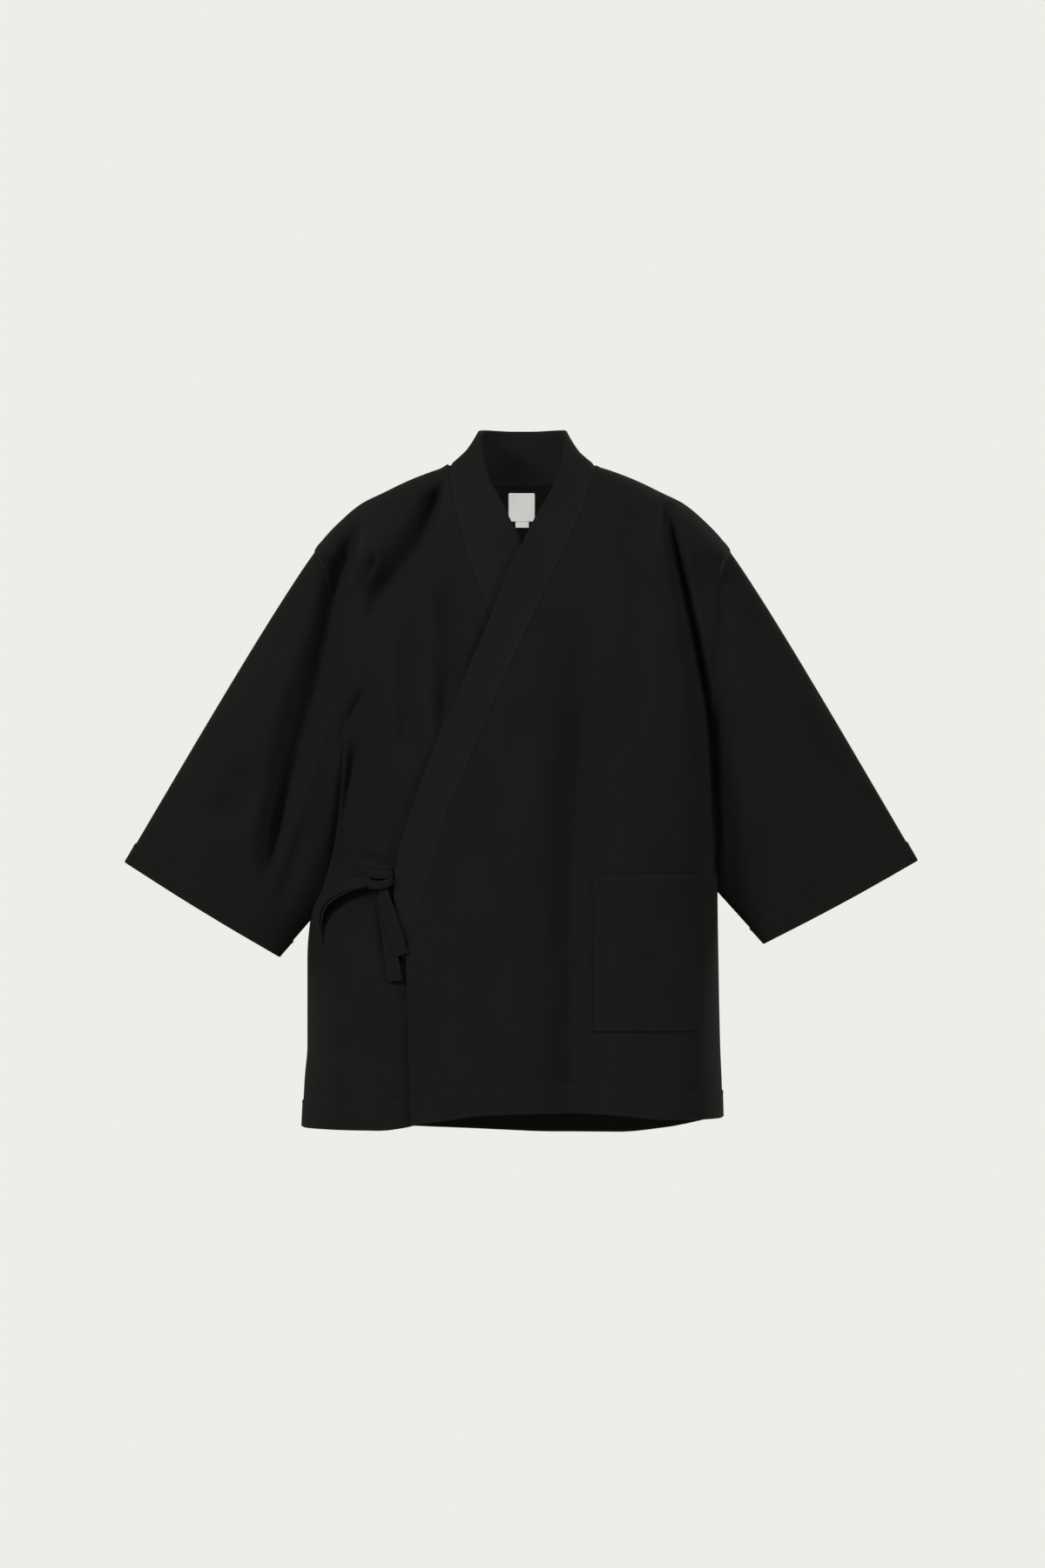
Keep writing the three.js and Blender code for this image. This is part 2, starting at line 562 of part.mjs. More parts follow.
/** A patch on a panel: the panel's own cells inside the given edges, with the edge cells cut to size. */
function patchCells(grid, pocket) {
  const crossing = (value, values) => {
    const rising = values[values.length - 1] > values[0];
    const i = values.findIndex((next, k) => k > 0 && (rising ? next >= value : next <= value));
    return i - 1 + (value - values[i - 1]) / (values[i] - values[i - 1]);
  };
  const between = (a, b) => {
    const [low, high] = a < b ? [a, b] : [b, a];
    const stops = [low];
    for (let k = Math.floor(low) + 1; k < high; k += 1) stops.push(k);
    return stops.concat(high);
  };
  const middleX = (pocket.left + pocket.right) / 2;
  const heights = grid.map((line) => line[Math.round(crossing(middleX, line.map((place) => place.x)))].z);
  const rows = between(crossing(pocket.top, heights), crossing(pocket.bottom, heights));
  const cells = rows.map((row) => {
    const upper = grid[Math.floor(row)];
    const lower = grid[Math.min(Math.floor(row) + 1, grid.length - 1)];
    const widths = upper.map((place, i) => mix(place.x, lower[i].x, row % 1));
    return between(crossing(pocket.left, widths), crossing(pocket.right, widths)).map((column) => ({ row, column }));
  });
  const count = Math.min(...cells.map((line) => line.length));
  return cells.map((line) => line.filter((_, i) => i === 0 || i > line.length - count));
}

/** A grid of points or normals read at fractional rows and columns. */
function readGrid(grid, cells) {
  const at = (line, column) => line[Math.floor(column)].clone()
    .lerp(line[Math.min(Math.floor(column) + 1, line.length - 1)], column % 1);
  return cells.map((line) => line.map(({ row, column }) => {
    const lower = grid[Math.min(Math.floor(row) + 1, grid.length - 1)];
    return at(grid[Math.floor(row)], column).lerp(at(lower, column), row % 1);
  }));
}

const clothMaterial = new THREE.MeshStandardMaterial({ color: CLOTH_COLOUR, roughness: 0.95, metalness: 0 });
const labelMaterial = new THREE.MeshStandardMaterial({ color: LABEL_COLOUR, roughness: 0.8, metalness: 0 });
const jacket = new THREE.Group();

function addMesh(name, geometry, material = clothMaterial) {
  const mesh = new THREE.Mesh(geometry, material);
  mesh.name = name;
  jacket.add(mesh);
}

/** The five cut panels of body and sleeves that meet at shared seams, and the collar on them. */
function addPanels() {
  const outer = frontGrid(LEFT, outerSeam, OUTER_HEM, (x, z) => bodyPoint(FRONT, x, z));
  const inner = frontGrid(RIGHT, innerSeam, INNER_HEM, innerPoint);
  const leftBack = backGrid(LEFT);
  const rightBack = backGrid(RIGHT);
  const panels = [
    { name: 'left_front', grid: outer, options: { flipped: false } },
    { name: 'right_front', grid: inner, options: { flipped: true } },
    { name: 'left_back', grid: leftBack, options: { flipped: true } },
    { name: 'right_back', grid: rightBack, options: { flipped: false } },
    { name: 'left_sleeve', grid: sleeveGrid(LEFT), options: { wrapped: true, flipped: true } },
    { name: 'right_sleeve', grid: sleeveGrid(RIGHT), options: { wrapped: true, flipped: false } },
    {
      name: 'collar',
      grid: collarGrid(inner, outer, leftBack, rightBack),
      options: { step: COLLAR_STEP, thickness: COLLAR_CLOTH, flipped: false },
    },
  ];
  for (const panel of panels) {
    panel.normals = gridNormals(panel.grid, panel.options.wrapped, !panel.options.flipped);
  }
  shareNormals(panels);
  for (const panel of panels) {
    addMesh(panel.name, clothWall(panel.grid, panel.normals, panel.options));
  }
  return panels[0];
}

/** A patch pocket on a front, standing just off it. */
function addPocket(name, panel, pocket) {
  const cells = patchCells(panel.grid, pocket);
  const patch = readGrid(panel.grid, cells);
  const normals = readGrid(panel.normals, cells);
  const options = { step: PATCH_GAP + PATCH_CLOTH, thickness: PATCH_CLOTH, back: 0.01 };
  addMesh(name, clothWall(patch, normals, options));
}

function addStrap(name, table, width = STRAP_WIDTH) {
  const grid = strapGrid(table, width);
  const normals = gridNormals(grid, false, true);
  addMesh(name, clothWall(grid, normals, { step: STRAP_CLOTH / 2, thickness: STRAP_CLOTH, back: 0.01 }));
}

/** The knot of the ties, a soft lump of crossed strap. */
function addKnot() {
  const centre = liftedPoint(KNOT.x, KNOT.z, KNOT.lift);
  const turn = new THREE.Quaternion().setFromUnitVectors(point(0, -1, 0), frontNormal(KNOT.x, KNOT.z));
  const geometry = new THREE.SphereGeometry(1, 12, 8);
  geometry.scale(KNOT.width, KNOT.depth, KNOT.height);
  geometry.applyQuaternion(turn);
  geometry.translate(centre.x, centre.y, centre.z);
  addMesh('tie_knot', geometry);
}

/** A small tab that lies on the inside of the back. */
function addTab(name, tab) {
  const corner = (x, z) => {
    const place = bodyPoint(BACK, x, z);
    place.y -= CLOTH + LABEL_GAP;
    return place;
  };
  const grid = [tab.top, tab.bottom].map((z) => [tab.left, 0, tab.right].map((x) => corner(x, z)));
  const normals = gridNormals(grid, false, true);
  addMesh(name, clothWall(grid, normals, { step: tab.thickness, thickness: tab.thickness, back: 0.01 }), labelMaterial);
}

const outerFront = addPanels();
addPocket('left_pocket', outerFront, POCKET);
addStrap('side_tie', SIDE_TIE, SIDE_TIE_WIDTH);
addStrap('bow_loop', BOW_LOOP);
addStrap('front_tie', FRONT_TIE);
addStrap('long_tail', LONG_TAIL);
addStrap('short_tail', SHORT_TAIL);
addKnot();
addTab('label', LABEL);
addTab('size_tab', SIZE_TAB);

export default jacket;
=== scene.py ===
import logging
import math
from dataclasses import dataclass
from enum import Enum
from typing import Callable, Optional, Sequence, Union

import bpy
import numpy as np
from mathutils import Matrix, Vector


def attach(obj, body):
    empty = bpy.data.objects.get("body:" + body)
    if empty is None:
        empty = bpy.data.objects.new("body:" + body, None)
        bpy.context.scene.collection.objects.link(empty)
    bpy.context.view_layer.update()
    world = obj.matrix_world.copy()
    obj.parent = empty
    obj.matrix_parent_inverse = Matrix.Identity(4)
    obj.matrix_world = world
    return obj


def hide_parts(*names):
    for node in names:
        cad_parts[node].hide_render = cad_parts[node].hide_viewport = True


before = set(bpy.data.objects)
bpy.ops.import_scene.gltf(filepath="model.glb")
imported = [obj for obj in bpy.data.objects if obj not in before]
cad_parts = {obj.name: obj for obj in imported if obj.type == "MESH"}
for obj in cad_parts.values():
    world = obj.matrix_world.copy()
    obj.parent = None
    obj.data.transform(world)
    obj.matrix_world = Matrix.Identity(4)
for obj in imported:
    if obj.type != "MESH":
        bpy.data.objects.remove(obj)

log = logging.getLogger("jacket")
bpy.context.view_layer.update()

Array = np.ndarray
Number = Union[float, Array]
MM = 0.001
BODY = "root"
BODY_PANELS = ("outer_front", "inner_front", "back_left", "back_right")

# Cloth and its edges
CLOTH = 1.2
HEM_CLOTH = 2.4
HEM_DEPTH = 30.0
CUFF_HEM_DEPTH = 24.0
COLLAR_CLOTH = 3.0
COLLAR_STEP = 0.8
STRAP_CLOTH = 2.0
PATCH_CLOTH = 1.1
LAYER_DROP = 6.0

# Heights and places that the cut hangs from
ARMHOLE_TOP = -96.0
SLIT_TOP = -668.0
SLIT_OPENING = 5.0
SLIT_LENGTH = 90.0
NECK_DROP = -20.0
COLLAR_END = -560.0
NECK_HALF = 84.0
SIDE_PLACE = 240.0
SEAM_FOOT = -740.0
LEAST_FLAT = 0.0101

Rows = Sequence[tuple[float, float]]

# Half width of the jacket (height, distance): along the shoulder, down the armhole seam, down the side seam
LEFT_SIDE: Rows = (
    (0, 84), (-6, 103), (-17, 131), (-30, 158), (-43, 184), (-63, 208), (-83, 227), (-96, 236), (-112, 229),
    (-140, 223), (-190, 220), (-263, 219), (-343, 221), (-420, 223), (-483, 222), (-563, 223), (-663, 225),
    (-700, 226.5), (-750, 228),
)
RIGHT_SIDE: Rows = (
    (0, 84), (-6, 103), (-17, 131), (-30, 158), (-43, 184), (-63, 208), (-83, 227), (-96, 236), (-112, 229),
    (-140, 223), (-200, 214), (-263, 206), (-313, 204), (-373, 208), (-440, 216), (-480, 227), (-515, 241),
    (-563, 245), (-663, 245), (-700, 248), (-760, 251),
)
# How far the cloth stands in front of and behind the shoulder line at mid width (height, distance)
FRONT_DEPTH: Rows = (
    (0, 28), (-10, 35), (-20, 42), (-50, 61), (-73, 75), (-103, 88), (-143, 103), (-178, 113), (-220, 120),
    (-263, 123), (-343, 122), (-483, 120), (-600, 123), (-700, 127), (-770, 129),
)
BACK_DEPTH: Rows = (
    (0, 30), (-10, 59), (-20, 76), (-50, 92), (-73, 98), (-103, 104), (-143, 109), (-178, 111), (-220, 111),
    (-263, 110), (-343, 107), (-483, 106), (-600, 110), (-700, 115), (-770, 118),
)
ARMHOLE_DEPTH: Rows = ((0, 56), (0.15, 60), (0.3, 55), (0.5, 46), (0.75, 35), (1, 27))
SIDE_TURN: Rows = (
    (0, 2.4), (-96, 2.4), (-150, 1.5), (-250, 1.2), (-350, 1.5), (-430, 2.0), (-490, 2.4), (-770, 2.4),
)
WIDTH_POWER = 2.4
SEAM_POWER = 14
FOLD_ROOT_DEPTH = 30.0
LEAST_DEPTH = 3.0
COVER_EASE = (-32, 3)

# Where each front's collar seam runs, and below it that front's free edge (height, place across)
OUTER_SEAM: Rows = (
    (0, 84), (-18, 77), (-48, 69), (-73, 58), (-103, 44), (-178, 9), (-243, -21), (-323, -54), (-393, -84),
    (-448, -99), (-483, -109), (-523, -121), (-560, -131), (-620, -130), (-755, -126),
)
INNER_SEAM: Rows = (
    (0, -84), (-18, -83), (-53, -77), (-83, -69), (-113, -60), (-150, -48), (-178, -38), (-243, -10),
    (-323, 25), (-393, 52), (-483, 82), (-560, 103), (-620, 105), (-755, 105),
)
# Hems (place across, height)
OUTER_HEM: Rows = (
    (-130, -749), (-100, -745), (-40, -737), (40, -735), (100, -737), (150, -742), (228, -744),
)
INNER_HEM: Rows = ((-251, -755), (-165, -755), (-131, -751), (-95, -739), (-40, -731), (105, -730))
BACK_HEM: Rows = (
    (-251, -755), (-150, -759), (-60, -763), (40, -767), (110, -767), (165, -761), (200, -753), (228, -744),
)
# Where the outer front's free edge lies over the inner front (height, place across)
COVER: Rows = (
    (-32, 31), (-73, 16), (-103, -1), (-130, -15), (-178, -31), (-243, -58), (-323, -93), (-393, -122),
    (-448, -140), (-483, -146), (-523, -142), (-560, -137), (-620, -130), (-760, -126),
)


Place = tuple[float, float, float]
Route = tuple[Place, ...]

# Ties: place across, height and distance off the cloth
SIDE_TIE: Route = ((-224, -490, 1.7), (-217, -486, 4), (-205, -480, 6), (-190, -473, 7),
                   (-173.5, -466.5, 8.5))
BOW_LOOP: Route = (
    (-230, -544, 1.7), (-229, -524, 6.5), (-222, -506, 12.5), (-208, -491, 16), (-190, -481, 15.5),
    (-170.5, -476, 13),
)
FRONT_TIE: Route = ((-148.6, -465, 2), (-153, -465.5, 2.4), (-158, -466, 2.7))
LONG_TAIL: Route = (
    (-163, -476, 3.5), (-157, -497, 5.5), (-152, -520, 6), (-148.5, -550, 4.4), (-144, -586, 2.6),
)
SHORT_TAIL: Route = ((-156, -481.5, 10), (-150, -505, 7.5), (-143, -532, 6.6), (-136, -557, 5.4))


class Face(Enum):
    """The two faces of the worn jacket, and the way each one looks along Y."""

    FRONT = -1
    BACK = 1


def mix(low: Number, high: Number, share: Number) -> Number:
    """The value that lies that share of the way from low to high."""
    return low + (high - low) * share


def smoothstep(value: Number, low: float, high: float) -> Array:
    """0 below low, 1 above high, and a smooth rise between."""
    share = np.clip((np.asarray(value, float) - low) / (high - low), 0, 1)
    return share * share * (3 - 2 * share)


class Curve:
    """A smooth curve through a table's rows that never overshoots between them."""

    def __init__(self, rows: Rows) -> None:
        """Takes pairs of place and value, in any order."""
        table = np.array(sorted(rows), float)
        self.at, self.value = table[:, 0], table[:, 1]
        slope = np.diff(self.value) / np.diff(self.at)
        before, after = slope[:-1], slope[1:]
        turning = before * after <= 0
        total = np.where(turning, 1.0, before + after)
        inner = np.where(turning, 0.0, 2 * before * after / total)
        self.tangent = np.concatenate([slope[:1], inner, slope[-1:]])

    def __call__(self, place: Number) -> Array:
        """The curve's value at a place, held level beyond its ends."""
        k = np.clip(np.asarray(place, float), self.at[0], self.at[-1])
        i = np.clip(np.searchsorted(self.at, k, side="right") - 1, 0, len(self.at) - 2)
        span = self.at[i + 1] - self.at[i]
        t = (k - self.at[i]) / span
        blend = t * t * (3 - 2 * t)
        lean = t * (1 - t)
        return mix(self.value[i], self.value[i + 1], blend) + span * lean * (
            self.tangent[i] * (1 - t) - self.tangent[i + 1] * t
        )


def smooth_line(points: Sequence[Sequence[float]], count: int) -> Array:
    """A line that passes smoothly through points of any dimension.

    Args:
        points: the points, in order.
        count: how many points the answer has, evenly spread over the stretches.

    Returns:
        An array of count points.
    """
    p = np.array(points, float)
    if len(p) == 2:
        return mix(p[0], p[1], np.linspace(0, 1, count)[:, None])
    padded = np.vstack([2 * p[0] - p[1], p, 2 * p[-1] - p[-2]])
    at = np.linspace(0, len(p) - 1, count)
    i = np.clip(at.astype(int), 0, len(p) - 2)
    t = (at - i)[:, None]
    a, b, c, d = padded[i], padded[i + 1], padded[i + 2], padded[i + 3]
    return 0.5 * (
        2 * b + (c - a) * t + (2 * a - 5 * b + 4 * c - d) * t**2 + (3 * b - a - 3 * c + d) * t**3
    )


def travelled(points: Array) -> Array:
    """How far along a line each of its points lies."""
    return np.concatenate([[0], np.cumsum(np.linalg.norm(np.diff(points, axis=0), axis=1))])


def crowded_shares(steps: int) -> Array:
    """Shares from 0 to 1, closer together at both ends."""
    return (1 - np.cos(np.pi * np.linspace(0, 1, steps + 1))) / 2


def even_line(points: Array, count: int) -> Array:
    """The same line with its points at even distances."""
    along = travelled(points)
    at = np.linspace(0, along[-1], count)
    return np.stack([np.interp(at, along, points[:, k]) for k in range(points.shape[1])], axis=1)


@dataclass(frozen=True)
class Fold:
    """A crease, held as a line in the front view.

    The cloth sinks along the line and stands up a little beside it.
    """

    name: str
    line: tuple[tuple[float, float], ...]
    depth: float
    width: float
    left_width: float = 0.0
    crest: float = 0.0
    head: float = 0.2
    foot: float = 0.25
    pinch: float = 0.0
    close: float = 0.0

    STEPS = 36

    def trace(self) -> Array:
        """The fold's line as evenly spread points."""
        return even_line(smooth_line(self.line, self.STEPS * 2), self.STEPS)

    def measure(self, x: Array, z: Array) -> tuple[Array, Array]:
        """How places lie to the fold.

        Returns:
            The distance from the line, positive on the wearer's left, and the share of its length passed.
        """
        line = self.trace()
        best = np.full(x.shape, np.inf)
        away = np.zeros(x.shape)
        share = np.zeros(x.shape)
        count = len(line) - 1
        for i in range(count):
            (ax, az), (bx, bz) = line[i], line[i + 1]
            dx, dz = bx - ax, bz - az
            long = dx * dx + dz * dz
            t = np.clip(((x - ax) * dx + (z - az) * dz) / long, 0, 1)
            ox, oz = x - ax - t * dx, z - az - t * dz
            near = np.hypot(ox, oz)
            closer = near < best
            side = np.sign(dx * oz - dz * ox) * (1 if dz <= 0 else -1)
            best = np.where(closer, near, best)
            away = np.where(closer, near * side, away)
            share = np.where(closer, (i + t) / count, share)
        return away, share

    def sink(self, x: Array, z: Array) -> Array:
        """How far the cloth sinks at places of the front view."""
        margin = 4 * max(self.width, self.left_width) + 8
        corners = np.array(self.line, float)
        low, high = corners.min(0) - margin, corners.max(0) + margin
        near = (x > low[0]) & (x < high[0]) & (z > low[1]) & (z < high[1])
        sunk = np.zeros(x.shape)
        if not near.any():
            return sunk
        away, share = self.measure(x[near], z[near])
        width = np.where(away > 0, self.left_width or self.width, self.width)
        narrowing = self.pinch * (1 - smoothstep(share, 0.0,
                                                 0.5)) + self.close * smoothstep(share, 0.5, 1.0)
        width = width * (1 - narrowing)
        trough = np.exp(-((away / width) ** 2))
        banks = np.exp(-(((np.abs(away) - 2.0 * width) / width) ** 2))
        taper = smoothstep(share, -0.02, self.head) * smoothstep(1 - share, -0.02, self.foot)
        sunk[near] = taper * (self.depth * trough - self.crest * banks)
        return sunk


FRONT_FOLDS = (
    Fold("left armhole fold", ((161, -40), (168, -62), (178, -113), (189, -165), (199, -215), (208, -265),
         (213, -300), (216, -350), (218, -420), (219, -478)), 25, 7, 6, 1.5, 0.12, 0.04),
    Fold("front hanging fold", ((77, -120), (72, -215), (67, -295), (62, -390), (58, -465), (58, -540),
         (58, -625), (57, -772)), 23, 25, 34, 0.4, 0.35, 0.05),
    Fold("right sleeve fold", ((-183, -62), (-192, -84), (-207, -124), (-217, -164), (-225, -203),
                               (-234, -243),
         (-247, -283), (-258, -323), (-269, -363), (-281, -413), (-291, -462), (-296, -492)), 33, 24, 13,
         1.5, 0.1,
         0.2, 0.4, 0.5),
    Fold("right shoulder drag", ((-89, -15), (-97, -40), (-106, -68), (-116, -90), (-135, -116),
                                 (-155, -140),
         (-173, -166), (-190, -190)), 30, 26, 6, 1.8, 0.14, 0.34, 0.45),
    Fold("right armhole dent", ((-168, -98), (-171, -112), (-176, -126)), 7, 5, 4, 0.8, 0.3, 0.4),
    Fold("right crest", ((-163, -72), (-170, -112), (-184, -164), (-198, -224), (-204, -290), (-214, -362),
         (-222, -424)), -5.5, 9, 11, 0, 0.2, 0.25),
    Fold("right oblique crease", ((-168, -250), (-183, -265), (-200, -294), (-207, -306)), 9, 7, 5, 1.5,
         0.3, 0.3),
    Fold("right armhole fold", ((-192, -312), (-193, -345), (-198, -374), (-204, -414), (-211, -468)), 18,
         8, 10, 1.5,
         0.15, 0.1),
    Fold("lap fold", ((-84, -104), (-82, -164), (-84, -214), (-88, -272), (-96, -318)), 18, 17, 10, 1.2,
         0.3, 0.3),
    Fold("right chest fold", ((-128, -160), (-130, -230), (-130, -300), (-127, -352)), 14, 11, 17, 0.6,
         0.35, 0.35),
    Fold("right sleeve trough", ((-300, -330), (-322, -372), (-352, -425)), 14, 24, 16, 1, 0.4, 0.35),
    Fold("right cuff wave", ((-245, -395), (-262, -450), (-284, -520)), 7, 13, 11, 0.8, 0.4, 0.3),
    Fold("left sleeve slack", ((262, -270), (274, -320), (300, -385), (330, -440)), 8, 18, 22, 1, 0.4,
         0.35),
    Fold("left armhole slack", ((224, -118), (226, -165), (232, -225)), 4, 7, 9, 0.6, 0.4, 0.5),
    Fold("left shoulder soft", ((118, -48), (126, -105), (132, -175)), 4, 17, 15, 0.4, 0.4, 0.5),
    Fold("left waist soft", ((128, -150), (131, -250), (128, -345)), 4.5, 12, 14, 0.6, 0.4, 0.4),
    Fold("outer front soft", ((-12, -262), (-6, -300), (-2, -345)), 4, 11, 13, 0.4, 0.4, 0.5),
    Fold("outer front low", ((-52, -520), (-46, -610), (-50, -700)), 4, 17, 19, 0.4, 0.5, 0.4),
    Fold("left side fullness", ((150, -110), (172, -200), (187, -300), (194, -400), (196, -480)), -11, 30,
         13, 0, 0.3, 0.3),
    Fold("left low fullness", ((192, -490), (196, -600), (198, -744)), -8, 40, 24, 0, 0.25, 0.02),
    Fold("right low fullness", ((-200, -520), (-206, -620), (-208, -752)), -7, 16, 34, 0, 0.25, 0.02),
    Fold("tail crease", ((-165, -487), (-161, -503), (-158, -520), (-157, -536), (-160, -558)), 6.5, 4, 5,
         0.8, 0.2, 0.4),
    Fold("right low wave", ((-178, -560), (-181, -640), (-178, -740)), 2.4, 15, 14, 0.4, 0.5, 0.3),
    Fold("left low wave", ((150, -660), (152, -700), (150, -740)), 2.2, 16, 16, 0.3, 0.5, 0.3),
    Fold("tie pull upper", ((-150, -456), (-172, -449), (-200, -447)), 3.2, 6, 6, 0.8, 0.3, 0.5),
    Fold("tie pull lower", ((-164, -492), (-184, -505), (-205, -530)), 3.4, 8, 8, 0.8, 0.3, 0.5),
)
BACK_FOLDS = (
    Fold("left back drag", ((148, -66), (170, -128), (192, -215), (205, -330), (214, -450)), 15, 12, 9,
         1.5, 0.15, 0.2),
    Fold("right back drag", ((-150, -72), (-172, -140), (-190, -232), (-202, -340), (-213, -462)), 15, 9,
         12, 1.5,
         0.15, 0.2),
    Fold("left hanging fold", ((86, -225), (92, -360), (98, -510), (104, -742)), 8, 18, 15, 1.2, 0.35,
         0.12),
    Fold("right hanging fold", ((-72, -255), (-80, -400), (-88, -560), (-93, -742)), 8, 15, 19, 1.2, 0.35,
         0.12),
    Fold("middle soft", ((10, -330), (6, -480), (12, -640)), 3, 20, 16, 0.6, 0.4, 0.4),
    Fold("left blade crease", ((60, -82), (104, -128), (150, -196)), 4, 13, 10, 0.8, 0.3, 0.4),
    Fold("right blade crease", ((-66, -92), (-112, -150), (-154, -226)), 4.5, 10, 12, 0.8, 0.3, 0.4),
    Fold("left sleeve fold", ((230, -120), (246, -200), (270, -300), (318, -462)), 12, 12, 14, 1.2, 0.2,
         0.25),
    Fold("right sleeve fold", ((-230, -120), (-248, -210), (-274, -310), (-322, -474)), 12, 14, 12, 1.2,
         0.2, 0.25),
    Fold("left sleeve soft", ((300, -240), (330, -330), (372, -425)), 4, 16, 18, 0.6, 0.4, 0.3),
    Fold("right sleeve soft", ((-296, -250), (-330, -345), (-370, -430)), 4, 18, 15, 0.6, 0.4, 0.3),
    Fold("left side wave", ((168, -520), (172, -620), (174, -738)), 3.5, 13, 12, 0.5, 0.4, 0.15),
    Fold("right side wave", ((-170, -540), (-178, -640), (-182, -744)), 3.5, 12, 14, 0.5, 0.4, 0.15),
)


class Ripple:
    """A faint unevenness of worn cotton, made of many long waves."""

    def __init__(self, seed: int, height: float, shortest: float, longest: float, count: int = 26) -> None:
        """Args:
            seed: fixes the waves.
            height: of the whole, in millimetres.
            shortest: the shortest wave's length.
            longest: the longest wave's length.
            count: how many waves.
        """
        rng = np.random.default_rng(seed)
        length = np.exp(rng.uniform(np.log(shortest), np.log(longest), count))
        turn = rng.uniform(0, np.pi, count)
        self.kx = 2 * np.pi * np.cos(turn) / length
        self.kz = 2 * np.pi * np.sin(turn) / length * 0.6
        self.phase = rng.uniform(0, 2 * np.pi, count)
        self.height = height * np.sqrt(2 / count)

    def __call__(self, x: Array, z: Array) -> Array:
        """The unevenness at places of the front view."""
        total = np.zeros(x.shape)
        for kx, kz, phase in zip(self.kx, self.kz, self.phase):
            total += np.sin(kx * x + kz * z + phase)
        return total * self.height


@dataclass(frozen=True)
class Cuff:
    """A sleeve's opening in the front view: the corner on the shoulder fold and the one under the arm."""

    top_x: float
    top_z: float
    low_x: float
    low_z: float
    depth: float = 22.0


@dataclass(frozen=True)
class Side:
    """What differs between the wearer's left and right half."""

    sign: int
    outline: Rows
    underarm: float
    cuff: Cuff

    def reach(self, z: Number) -> Array:
        """Half width at a height."""
        return Curve(self.outline)(z)

    def shoulder_height(self, x: Number) -> Array:
        """Height of the shoulder line above a distance from the middle."""
        z = np.linspace(ARMHOLE_TOP, 0, 2000)
        return np.interp(np.abs(x), self.reach(z)[::-1], z[::-1])


LEFT = Side(1, LEFT_SIDE, -483.0, Cuff(452, -451, 278, -545))
RIGHT = Side(-1, RIGHT_SIDE, -515.0, Cuff(455, -453, 280, -560))


